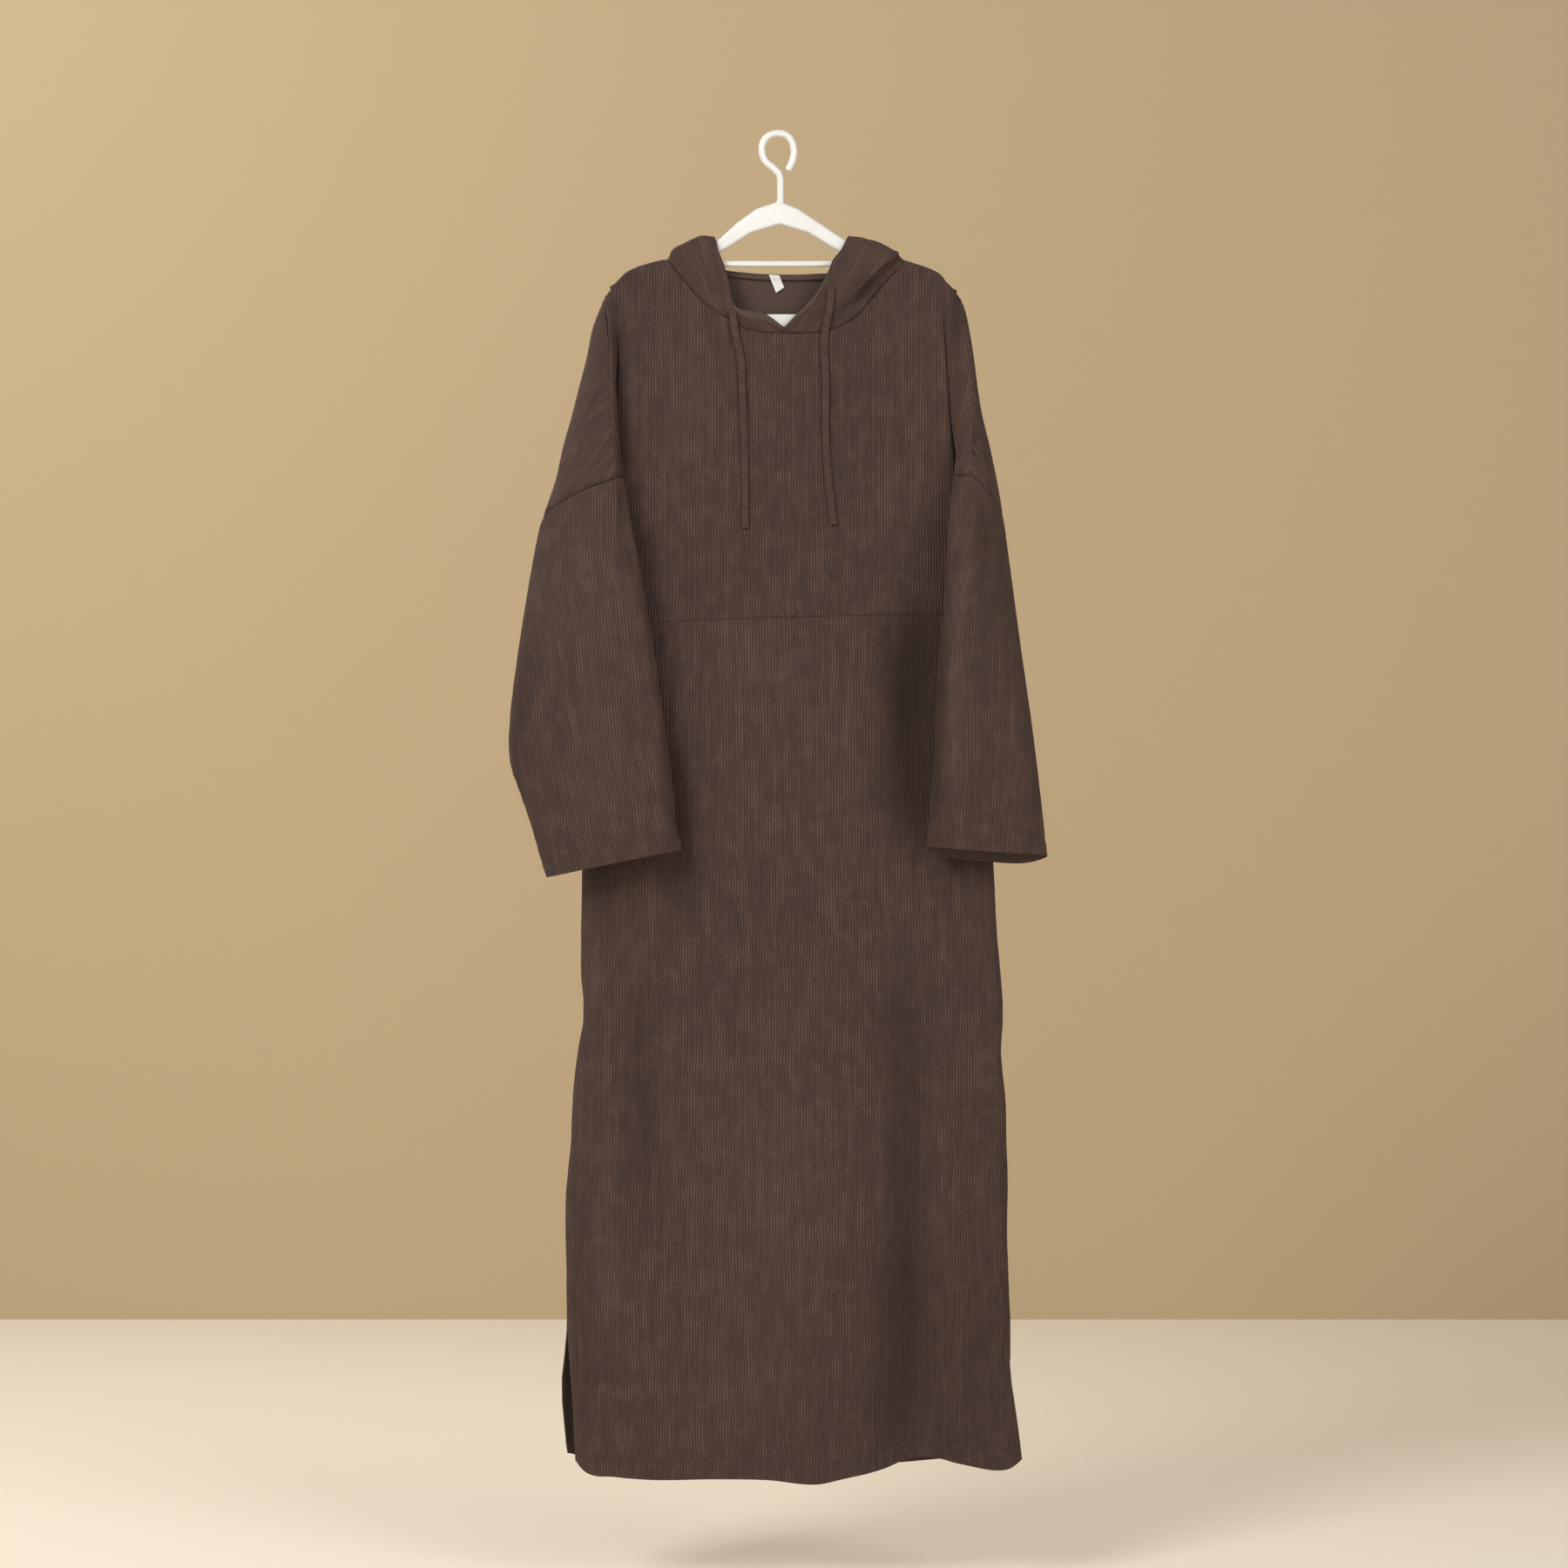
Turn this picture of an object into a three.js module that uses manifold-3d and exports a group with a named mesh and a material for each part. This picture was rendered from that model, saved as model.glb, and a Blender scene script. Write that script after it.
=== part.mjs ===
// Hooded corduroy abaya on a moulded plastic hanger, built in millimetres with +Z up.
// +X runs to the viewer's right, the front faces -Y and the origin is the inside top of the hook.
import * as THREE from "three";
import * as BufferGeometryUtils from "three/addons/utils/BufferGeometryUtils.js";
import Module from "manifold-3d";

// Driving dimensions
const cloth = 1.2;
const seamGap = 0.4;
const overHanger = 8.9;
const armpitHeight = -455;
const waistLeft = -561;
const waistRight = -549;
const slitTop = -1376;
const sleeveGap = 1;
const armSeamGap = 0.7;
const hangerDepth = 11;
const hangerBevel = 3.5;
const hookWidth = 8.6;
const cordWidth = 8;
const cordDepth = 4;
const labelGap = 1.2;
const labelThickness = 0.5;

// Materials
const corduroy = new THREE.MeshStandardMaterial({ color: 0x4a342b, roughness: 0.95, metalness: 0 });
const cordCloth = new THREE.MeshStandardMaterial({ color: 0x4d372d, roughness: 0.95, metalness: 0 });
const labelCloth = new THREE.MeshStandardMaterial({ color: 0xe9e6e2, roughness: 0.8, metalness: 0 });
const whitePlastic = new THREE.MeshStandardMaterial({ color: 0xf2f0ec, roughness: 0.35, metalness: 0 });

// Each arm by height: outer edge, shoulder seam and inner fold
const leftArm = [
  { z: -174, edge: -196, seam: -195.5, fold: -189 },
  { z: -197, edge: -207, seam: -201, fold: -191 },
  { z: -221, edge: -216, seam: -198, fold: -191 },
  { z: -252, edge: -222, seam: -197, fold: -190 },
  { z: -287, edge: -231, seam: -195.6, fold: -188 },
  { z: -321, edge: -239.5, seam: -193, fold: -186 },
  { z: -355, edge: -249, seam: -190, fold: -183 },
  { z: -395, edge: -258, seam: -187, fold: -178 },
  { z: -449, edge: -276, seam: -184, fold: -169 },
  { z: -495, edge: -285, seam: -184, fold: -160 },
  { z: -544, edge: -293, seam: -184, fold: -152 },
  { z: -602, edge: -301, seam: -184, fold: -143 },
  { z: -663, edge: -308, seam: -184, fold: -134 },
  { z: -703, edge: -309.4, seam: -184, fold: -128 },
  { z: -724, edge: -307, seam: -184, fold: -125 },
  { z: -755, edge: -296, seam: -184, fold: -121.5 },
  { z: -786, edge: -285.5, seam: -184, fold: -119 },
  { z: -818, edge: -276, seam: -184, fold: -112.6 },
  { z: -850, edge: -266, seam: -184, fold: -108 },
];
const rightArm = [
  { z: -180, edge: 203, seam: 202.5, fold: 194 },
  { z: -197, edge: 211, seam: 209, fold: 195.5 },
  { z: -221, edge: 216, seam: 214, fold: 199 },
  { z: -252, edge: 221, seam: 218, fold: 204.5 },
  { z: -287, edge: 225.5, seam: 219, fold: 204.5 },
  { z: -321, edge: 231, seam: 220, fold: 203 },
  { z: -355, edge: 239.5, seam: 219, fold: 202 },
  { z: -395, edge: 248, seam: 218, fold: 197 },
  { z: -449, edge: 257, seam: 217, fold: 191 },
  { z: -495, edge: 263, seam: 217, fold: 188 },
  { z: -544, edge: 269, seam: 217, fold: 185 },
  { z: -602, edge: 276, seam: 217, fold: 180 },
  { z: -663, edge: 284, seam: 217, fold: 176 },
  { z: -724, edge: 291.5, seam: 217, fold: 174 },
  { z: -786, edge: 299, seam: 217, fold: 168.5 },
  { z: -835, edge: 304, seam: 217, fold: 164 },
];

// Side edges of the body by height; the back edge parts from the front edge below the slit's top
const bodySides = [
  { z: -455, left: -205, right: 212, leftBack: -205, rightBack: 212 },
  { z: -505, left: -207.5, right: 214.5, leftBack: -207.5, rightBack: 214.5 },
  { z: -580, left: -214, right: 225, leftBack: -214, rightBack: 225 },
  { z: -700, left: -221, right: 236, leftBack: -221, rightBack: 236 },
  { z: -841, left: -228, right: 245, leftBack: -228, rightBack: 245 },
  { z: -906, left: -229, right: 248, leftBack: -229, rightBack: 248 },
  { z: -964, left: -229, right: 253, leftBack: -229, rightBack: 253 },
  { z: -1008, left: -226, right: 256, leftBack: -226, rightBack: 256 },
  { z: -1051, left: -233, right: 253, leftBack: -233, rightBack: 253 },
  { z: -1100, left: -238.5, right: 258, leftBack: -238.5, rightBack: 258 },
  { z: -1158, left: -241, right: 260, leftBack: -241, rightBack: 260 },
  { z: -1206, left: -246, right: 261, leftBack: -246, rightBack: 261 },
  { z: -1255, left: -247, right: 260, leftBack: -247, rightBack: 260 },
  { z: -1308, left: -246, right: 262, leftBack: -246, rightBack: 262 },
  { z: -1366, left: -245, right: 264, leftBack: -245.5, rightBack: 264 },
  { z: -1400, left: -243, right: 263, leftBack: -248.5, rightBack: 264 },
  { z: -1434, left: -240.5, right: 266, leftBack: -252, rightBack: 262 },
  { z: -1473, left: -237.5, right: 271.5, leftBack: -250, rightBack: 262 },
  { z: -1545, left: -235, right: 281, leftBack: -241, rightBack: 266 },
];

// Hem height of the front and of the back, by distance across
const frontHem = [
  { x: -236, z: -1517 },
  { x: -222, z: -1530 },
  { x: -190, z: -1534 },
  { x: -146, z: -1537 },
  { x: -74, z: -1536 },
  { x: -15, z: -1537 },
  { x: 40, z: -1542 },
  { x: 70, z: -1536 },
  { x: 120, z: -1524 },
  { x: 150, z: -1512 },
  { x: 173, z: -1510 },
  { x: 207, z: -1519 },
  { x: 260, z: -1526 },
  { x: 278, z: -1517 },
];
const backHem = [
  { x: -245, z: -1512 },
  { x: -225, z: -1522 },
  { x: -100, z: -1529 },
  { x: 60, z: -1530 },
  { x: 150, z: -1526 },
  { x: 205, z: -1521 },
  { x: 262, z: -1516 },
];

// Depth of the front and back by height, at mid width
const bodyDepth = [
  { z: -140, front: 10.5, back: 9 },
  { z: -150, front: 12, back: 11.8 },
  { z: -161, front: 12.6, back: 15.8 },
  { z: -250, front: 14.5, back: 17.5 },
  { z: -455, front: 18, back: 20 },
  { z: -561, front: 20, back: 23 },
  { z: -841, front: 24, back: 29 },
  { z: -1200, front: 32, back: 38 },
  { z: -1545, front: 40, back: 48 },
];

// Share of that depth at each share of the width, from a side edge to the middle
const sideRound = [
  { across: 0, share: 0 },
  { across: 0.008, share: 0.34 },
  { across: 0.03, share: 0.62 },
  { across: 0.08, share: 0.82 },
  { across: 0.2, share: 0.95 },
  { across: 0.5, share: 1 },
];

// Soft folds of the skirt: place, width, top, bottom and how far the cloth sinks
const folds = [
  { x: 146, width: 26, top: -560, bottom: -830, sink: 7, panel: "front" },
  { x: 133, width: 22, top: -1180, bottom: -1600, sink: 8, panel: "front" },
  { x: -162, width: 26, top: -940, bottom: -1320, sink: 6, panel: "front" },
  { x: 160, width: 24, top: -1380, bottom: -1620, sink: -8, panel: "front" },
  { x: -90, width: 40, top: -900, bottom: -1600, sink: 8, panel: "back" },
  { x: 110, width: 36, top: -1000, bottom: -1600, sink: 9, panel: "back" },
  { x: 20, width: 36, top: -600, bottom: -1300, sink: 5, panel: "back" },
];

// Stations of the front's upper edge: shoulder seams and neckline, with the place across at the armpit
const frontTop = [
  { x: -184, z: -162, onShoulder: 1, across: 0 },
  { x: -178, z: -156.5, onShoulder: 1, across: 0.03 },
  { x: -166, z: -150, onShoulder: 1, across: 0.07 },
  { x: -149, z: -144.5, onShoulder: 1, across: 0.12 },
  { x: -131, z: -141, onShoulder: 1, across: 0.17 },
  { x: -127, z: -147.5, onShoulder: 0, across: 0.185 },
  { x: -111, z: -166.5, onShoulder: 0, across: 0.22 },
  { x: -88, z: -192.5, onShoulder: 0, across: 0.28 },
  { x: -64, z: -208, onShoulder: 0, across: 0.34 },
  { x: -44, z: -220.5, onShoulder: 0, across: 0.39 },
  { x: -20, z: -226, onShoulder: 0, across: 0.45 },
  { x: 4, z: -227, onShoulder: 0, across: 0.5 },
  { x: 27, z: -227, onShoulder: 0, across: 0.555 },
  { x: 49, z: -225, onShoulder: 0, across: 0.605 },
  { x: 70, z: -218, onShoulder: 0, across: 0.655 },
  { x: 86, z: -209, onShoulder: 0, across: 0.695 },
  { x: 105, z: -187.5, onShoulder: 0, across: 0.745 },
  { x: 123, z: -165.5, onShoulder: 0, across: 0.795 },
  { x: 138.5, z: -148, onShoulder: 0, across: 0.83 },
  { x: 142, z: -142.5, onShoulder: 1, across: 0.845 },
  { x: 158, z: -146.5, onShoulder: 1, across: 0.89 },
  { x: 173, z: -152, onShoulder: 1, across: 0.935 },
  { x: 183, z: -158, onShoulder: 1, across: 0.97 },
  { x: 189, z: -163, onShoulder: 1, across: 1 },
];

// Stations of the back's upper edge, from the right armpit to the left one
const backTop = [
  { x: 189, z: -163, onShoulder: 1, across: 1 },
  { x: 183, z: -158, onShoulder: 1, across: 0.97 },
  { x: 173, z: -152, onShoulder: 1, across: 0.935 },
  { x: 158, z: -146.5, onShoulder: 1, across: 0.89 },
  { x: 142, z: -142.5, onShoulder: 1, across: 0.845 },
  { x: 138, z: -144, onShoulder: 0, across: 0.835 },
  { x: 124, z: -148.5, onShoulder: 0, across: 0.795 },
  { x: 96, z: -154, onShoulder: 0, across: 0.73 },
  { x: 50, z: -158.5, onShoulder: 0, across: 0.62 },
  { x: 0, z: -159.5, onShoulder: 0, across: 0.5 },
  { x: -48, z: -156.5, onShoulder: 0, across: 0.38 },
  { x: -88, z: -152, onShoulder: 0, across: 0.28 },
  { x: -114, z: -147, onShoulder: 0, across: 0.21 },
  { x: -127.5, z: -142.6, onShoulder: 0, across: 0.18 },
  { x: -131, z: -141, onShoulder: 1, across: 0.17 },
  { x: -149, z: -144.5, onShoulder: 1, across: 0.12 },
  { x: -166, z: -150, onShoulder: 1, across: 0.07 },
  { x: -178, z: -156.5, onShoulder: 1, across: 0.03 },
  { x: -184, z: -162, onShoulder: 1, across: 0 },
];

// Rows down the upper panels: share of the drop to the armpit, and how far the cloth is off the hanger's top
const upperRows = [
  { drop: 0, off: 0 },
  { drop: 0.004, off: 0.62 },
  { drop: 0.025, off: 1 },
  { drop: 0.09, off: 1 },
  { drop: 0.18, off: 1 },
  { drop: 0.28, off: 1 },
  { drop: 0.39, off: 1 },
  { drop: 0.5, off: 1 },
  { drop: 0.61, off: 1 },
  { drop: 0.72, off: 1 },
  { drop: 0.82, off: 1 },
  { drop: 0.91, off: 1 },
  { drop: 0.965, off: 1 },
  { drop: 1, off: 1 },
];

// Value of one column of a table at a place along it, smooth through the rows
function read(table, from, name, at) {
  const rising = table[table.length - 1][from] > table[0][from];
  const rows = rising ? table : [...table].reverse();
  const last = rows.length - 1;
  if (at <= rows[0][from]) return rows[0][name];
  if (at >= rows[last][from]) return rows[last][name];
  let k = 0;
  while (rows[k + 1][from] < at) k += 1;
  const slope = (a, b) => (rows[b][name] - rows[a][name]) / (rows[b][from] - rows[a][from]);
  const span = rows[k + 1][from] - rows[k][from];
  const startSlope = k > 0 ? (slope(k - 1, k) + slope(k, k + 1)) / 2 : slope(k, k + 1);
  const endSlope = k + 1 < last ? (slope(k, k + 1) + slope(k + 1, k + 2)) / 2 : slope(k, k + 1);
  const t = (at - rows[k][from]) / span;
  const start = rows[k][name] * (1 + 2 * t) * (1 - t) ** 2 + startSlope * span * t * (1 - t) ** 2;
  return start + rows[k + 1][name] * t * t * (3 - 2 * t) - endSlope * span * t * t * (1 - t);
}

function mix(a, b, t) {
  return a + (b - a) * t;
}

function ease(from, to, at) {
  const t = Math.min(1, Math.max(0, (at - from) / (to - from)));
  return t * t * (3 - 2 * t);
}

function foldSink(panel, x, z) {
  let sink = 0;
  for (const fold of folds) {
    if (fold.panel !== panel) continue;
    const sideways = Math.exp(-(((x - fold.x) / fold.width) ** 2));
    const middle = mix(fold.top, fold.bottom, 0.5);
    const length = ease(fold.top, middle, z) * ease(fold.bottom, fold.bottom + 90, z);
    sink += fold.sink * sideways * length;
  }
  return sink;
}

function roundShare(across) {
  return read(sideRound, "across", "share", Math.min(across, 1 - across));
}

// Outer face of the body below the armpit
function bodyPoint(panel, across, z) {
  const front = panel === "front";
  const left = read(bodySides, "z", front ? "left" : "leftBack", z);
  const right = read(bodySides, "z", front ? "right" : "rightBack", z);
  const x = mix(left, right, across);
  const share = roundShare(across);
  const slit = ease(slitTop, slitTop - 110, z);
  const atSide = seamGap / 2 + 1.5 * ease(armpitHeight - 40, armpitHeight, z) + 9 * slit;
  const depth = read(bodyDepth, "z", panel, z) - foldSink(panel, x, z) * share;
  const y = mix(atSide, depth, share);
  return new THREE.Vector3(x, front ? -y : y, z);
}

// Stations round each arm. Across, a station lies a share of the way from one line of the arm to another.
// Its depth goes from near, at the shoulder's top, to far, where the arm is at full depth.
const armStations = {
  armpit: { height: 0, top: [-184, -162], from: "armpit", to: "armpit", share: 0, near: -9, far: -1.8 },
  inside: { height: 0.25, top: [-187, -165], from: "armpit", to: "fold", share: 0.45, near: -9.4, far: -24 },
  fold: { height: 1, top: [-190, -168], from: "fold", to: "fold", share: 0, near: -9.6, far: -42 },
  ridge: { height: 1.02, top: [-192.5, -170.5], from: "fold", to: "seam", share: 0.5, near: -9.9, far: -58 },
  seam: { height: 1, top: [-195, -173.5], from: "seam", to: "seam", share: 0, near: -6, far: -64 },
  frontEdge: { height: 0.72, top: [-194.4, -172.6], from: "seam", to: "edge", share: 0.6, near: -4, far: -54 },
  edge: { height: 0.28, top: [-193, -171], from: "edge", to: "edge", share: 0, near: 0, far: -12 },
  backEdge: { height: 0.08, top: [-191, -169], from: "edge", to: "armpit", share: 0.26, near: 6, far: 32 },
  back: { height: 0, top: [-188, -166], from: "edge", to: "armpit", share: 0.66, near: 9, far: 39 },
  backInside: { height: 0, top: [-186, -164], from: "edge", to: "armpit", share: 0.9, near: 9.2, far: 27 },
};
const armTop = -172;
const armFullDepth = -407;
const armpitTopX = 187;
const backArmpitNear = 11;
const backArmpitFar = 21.8;
const backArmpitLow = 1.8;

const armSides = {
  left: { table: leftArm, sign: -1, seamTop: -395, topShiftX: 0, topShiftZ: 0, armpitX: -205 },
  right: { table: rightArm, sign: 1, seamTop: -393, topShiftX: 6.5, topShiftZ: -4.5, armpitX: 212 },
};

// Distance behind the middle plane of the back panel at the armpit's line
function backArmpitDepth(z) {
  const open = mix(backArmpitNear, backArmpitFar, ease(-180, -330, z));
  return mix(open, backArmpitLow, ease(-340, armpitHeight, z));
}

// Point of the dropped shoulder at one height
function armPoint(side, name, z) {
  const arm = armSides[side];
  const grown = Math.min(1, Math.max(0, (z - armTop) / (armFullDepth - armTop))) ** 0.85;
  const lines = {
    edge: read(arm.table, "z", "edge", z),
    seam: read(arm.table, "z", "seam", z),
    fold: read(arm.table, "z", "fold", z),
    armpit: mix(arm.sign * armpitTopX, arm.armpitX, ease(-230, armpitHeight, z) ** 1.4),
  };
  if (name === "backArmpit") return new THREE.Vector3(lines.armpit, backArmpitDepth(z), z);
  const station = armStations[name];
  const deep = name === "armpit" ? ease(-300, armpitHeight, z) : grown;
  const x = mix(lines[station.from], lines[station.to], station.share);
  return new THREE.Vector3(x, mix(station.near, station.far, deep), z);
}

function sleeveSeamHeight(side, station) {
  const name = station === "backArmpit" ? "armpit" : station;
  return mix(armpitHeight, armSides[side].seamTop, armStations[name].height);
}

// Point of the dropped shoulder for one row of the upper panels
function shoulderPoint(side, station, row, panelSign) {
  const arm = armSides[side];
  const name = station === "backArmpit" ? "armpit" : station;
  const [topX, topZ] = armStations[name].top;
  const startX = -arm.sign * topX + arm.sign * arm.topShiftX;
  const startZ = topZ + arm.topShiftZ;
  const z = mix(startZ, sleeveSeamHeight(side, station), row.drop);
  const shaped = armPoint(side, station, z);
  const settled = ease(0, 0.1, row.drop);
  const x = mix(startX, shaped.x, settled);
  const nearTop = panelSign * mix(seamGap / 2, overHanger, row.off);
  const y = mix(nearTop, shaped.y, settled);
  return new THREE.Vector3(x, y, z);
}

// Point of the body above the armpit for one row of the upper panels
function chestPoint(panel, top, row) {
  const sign = panel === "front" ? -1 : 1;
  const z = mix(top.z, armpitHeight, row.drop);
  const low = bodyPoint(panel, top.across, armpitHeight);
  const x = mix(top.x, low.x, ease(-0.15, 1, row.drop));
  const free = sign * read(bodyDepth, "z", panel, z);
  const beside = sign * mix(free, low.y, ease(0.25, 1, row.drop));
  const held = sign * mix(seamGap / 2, overHanger, row.off);
  const onArm = mix(held, sign * beside, ease(0, 0.35, row.drop));
  const y = mix(sign * beside, onArm, top.onShoulder);
  return new THREE.Vector3(x, y, z);
}

// Points between the stations of a row
function spread(stations, steps) {
  const curve = new THREE.CatmullRomCurve3(stations, false, "centripetal");
  const points = [];
  const last = stations.length - 1;
  for (let k = 0; k < last; k += 1) {
    for (let step = 0; step < steps[k]; step += 1) {
      points.push(curve.getPoint((k + step / steps[k]) / last));
    }
  }
  points.push(stations[last].clone());
  return points;
}

// Closed wall of cloth from a grid of outer points; grid[row][column] runs anticlockwise seen from above
function wall(grid, options = {}) {
  const thickness = options.thickness ?? cloth;
  const closed = options.closed ?? false;
  const kept = options.kept ?? (() => true);
  const rows = grid.length;
  const columns = grid[0].length;
  const cells = [];
  for (let row = 0; row + 1 < rows; row += 1) {
    for (let column = 0; column < (closed ? columns : columns - 1); column += 1) {
      if (!kept(row, column)) continue;
      const next = (column + 1) % columns;
      const a = row * columns + column;
      const b = row * columns + next;
      const c = (row + 1) * columns + next;
      const d = (row + 1) * columns + column;
      cells.push([a, d, c], [a, c, b]);
    }
  }
  const outer = grid.flat();
  const normals = outer.map(() => new THREE.Vector3());
  for (const [a, b, c] of cells) {
    const ab = outer[b].clone().sub(outer[a]);
    const ac = outer[c].clone().sub(outer[a]);
    const normal = ab.cross(ac).normalize();
    for (const corner of [a, b, c]) normals[corner].add(normal);
  }
  const count = outer.length;
  const inner = outer.map((point, k) => {
    const normal = normals[k].normalize();
    const facing = options.facing?.(Math.floor(k / columns), k % columns, normal, point) ?? normal;
    return point.clone().addScaledVector(facing.normalize(), -thickness);
  });
  const triangles = [];
  const edges = new Map();
  for (const [a, b, c] of cells) {
    triangles.push(a, b, c);
    triangles.push(count + a, count + c, count + b);
    for (const [from, to] of [[a, b], [b, c], [c, a]]) {
      if (edges.has(`${to},${from}`)) edges.delete(`${to},${from}`);
      else edges.set(`${from},${to}`, [from, to]);
    }
  }
  for (const [from, to] of edges.values()) {
    triangles.push(to, from, count + from);
    triangles.push(to, count + from, count + to);
  }
  const used = new Map();
  const places = [];
  const index = triangles.map((corner) => {
    if (!used.has(corner)) {
      used.set(corner, used.size);
      const point = corner < count ? outer[corner] : inner[corner - count];
      places.push(point.x, point.y, point.z);
    }
    return used.get(corner);
  });
  const geometry = new THREE.BufferGeometry();
  geometry.setAttribute("position", new THREE.Float32BufferAttribute(places, 3));
  geometry.setIndex(index);
  geometry.computeVertexNormals();
  return geometry;
}

function piece(name, geometry, material) {
  const mesh = new THREE.Mesh(geometry, material);
  mesh.name = name;
  return mesh;
}

// Outward direction at the seams, the same for both pieces, so that their cut edges face each other
function seamFacing(grid, armColumns, tops) {
  const lastUpper = upperRows.length - 1;
  const lastColumn = grid[0].length - 1;
  return (row, column, normal, point) => {
    const top = tops[column - armColumns];
    if (row === 0 && (!top || top.onShoulder === 1)) return new THREE.Vector3(0, 0, 1);
    if (column === 0 || column === lastColumn) {
      const side = point.x < 0 ? armSides.left : armSides.right;
      const middle = mix(read(side.table, "z", "edge", point.z), side.armpitX, 0.5);
      return new THREE.Vector3(point.x - middle, point.y + 8, 0);
    }
    const atSide = column === armColumns || column === lastColumn - armColumns;
    if (row >= lastUpper && atSide) return new THREE.Vector3(Math.sign(point.x), 0, 0);
    return normal;
  };
}

// Front of the bodice, from one shoulder seam to the other and down to the waist seam
const frontArm = ["seam", "ridge", "fold", "inside"];
const frontArmSteps = [2, 2, 2, 2];

function waistHeight(across) {
  return mix(waistLeft, waistRight, across) + 3 * Math.sin(across * Math.PI);
}

function frontBodice() {
  const inner = frontTop.slice(1, -1);
  const rightStations = [...frontArm].reverse();
  const steps = [...frontArmSteps, ...frontTop.slice(1).map(() => 1), ...[...frontArmSteps].reverse()];
  const grid = upperRows.map((row) => {
    const stations = [
      ...frontArm.map((name) => shoulderPoint("left", name, row, -1)),
      shoulderPoint("left", "armpit", row, -1),
      ...inner.map((top) => chestPoint("front", top, row)),
      shoulderPoint("right", "armpit", row, -1),
      ...rightStations.map((name) => shoulderPoint("right", name, row, -1)),
    ];
    stations[0].x += armSeamGap / 2;
    stations[stations.length - 1].x -= armSeamGap / 2;
    return spread(stations, steps);
  });
  const armColumns = frontArmSteps.reduce((sum, step) => sum + step, 0);
  const columns = grid[0].length;
  for (const share of [0.12, 0.4, 0.7, 1]) {
    const points = grid[upperRows.length - 1].map((point) => point.clone());
    frontTop.forEach((top, k) => {
      const z = mix(armpitHeight, waistHeight(top.across) + seamGap / 2, share);
      points[armColumns + k] = bodyPoint("front", top.across, z);
    });
    grid.push(points);
  }
  const lastUpper = upperRows.length - 1;
  const inBody = (column) => column >= armColumns && column < columns - 1 - armColumns;
  const kept = (row, column) => row < lastUpper || inBody(column);
  const facing = seamFacing(grid, armColumns, frontTop);
  return piece("front_bodice", wall(grid, { kept, facing }), corduroy);
}

// Front of the skirt, from the waist seam to the hem
function acrossSteps(count) {
  const sides = [0, 0.008, 0.03, 0.07];
  const middle = Array.from({ length: count }, (_, k) => mix(0.13, 0.87, k / (count - 1)));
  return [...sides, ...middle, ...sides.map((side) => 1 - side).reverse()];
}

function frontSkirt() {
  const across = acrossSteps(18);
  const grid = [];
  const rows = 20;
  for (let row = 0; row <= rows; row += 1) {
    grid.push(across.map((share) => {
      const hemX = bodyPoint("front", share, -1530).x;
      const top = waistHeight(share) - seamGap / 2;
      const z = mix(top, read(frontHem, "x", "z", hemX), row / rows);
      return bodyPoint("front", share, z);
    }));
  }
  const lastColumn = across.length - 1;
  const facing = (row, column, normal) => {
    if (column > 0 && column < lastColumn) return normal;
    return new THREE.Vector3(column === 0 ? -1 : 1, 0, 0);
  };
  return piece("front_skirt", wall(grid, { facing }), corduroy);
}

// Back panel in one length, from the right shoulder seam round the arms to the left one
const backArm = ["backInside", "back", "backEdge", "edge", "frontEdge", "seam"];
const backArmSteps = [2, 2, 2, 2, 2, 2];

function backPanel() {
  const inner = backTop.slice(1, -1);
  const rightStations = [...backArm].reverse();
  const bodySteps = backTop.slice(1).map(() => 1);
  const steps = [...[...backArmSteps].reverse(), ...bodySteps, ...backArmSteps];
  const grid = upperRows.map((row) => {
    const stations = [
      ...rightStations.map((name) => shoulderPoint("right", name, row, 1)),
      shoulderPoint("right", "backArmpit", row, 1),
      ...inner.map((top) => chestPoint("back", top, row)),
      shoulderPoint("left", "backArmpit", row, 1),
      ...backArm.map((name) => shoulderPoint("left", name, row, 1)),
    ];
    stations[0].x += armSeamGap / 2;
    stations[stations.length - 1].x -= armSeamGap / 2;
    return spread(stations, steps);
  });
  const armColumns = backArmSteps.reduce((sum, step) => sum + step, 0);
  const columns = grid[0].length;
  const lowerRows = 24;
  for (let row = 1; row <= lowerRows; row += 1) {
    const points = grid[upperRows.length - 1].map((point) => point.clone());
    backTop.forEach((top, k) => {
      const hemX = bodyPoint("back", top.across, -1520).x;
      const z = mix(armpitHeight, read(backHem, "x", "z", hemX), (row / lowerRows) ** 1.1);
      points[armColumns + k] = bodyPoint("back", top.across, z);
    });
    grid.push(points);
  }
  const lastUpper = upperRows.length - 1;
  const inBody = (column) => column >= armColumns && column < columns - 1 - armColumns;
  const kept = (row, column) => row < lastUpper || inBody(column);
  const facing = seamFacing(grid, armColumns, backTop);
  return piece("back_panel", wall(grid, { kept, facing }), corduroy);
}

// Sleeve: the arm's section at the seam, brought forward of the body and flattened towards the cuff
const sleeveRing = [
  { name: "armpit", along: 0.1, depth: 0.55 },
  { name: "inside", along: 0.02, depth: 0.25 },
  { name: "fold", along: 0, depth: -0.15 },
  { name: "ridge", along: 0.05, depth: -0.7 },
  { name: "seam", along: 0.17, depth: -0.92 },
  { name: "frontEdge", along: 0.6, depth: -1 },
  { name: "edge", along: 1, depth: -0.05 },
  { name: "backEdge", along: 0.82, depth: 0.85 },
  { name: "back", along: 0.5, depth: 1 },
  { name: "backInside", along: 0.25, depth: 0.9 },
];

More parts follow.
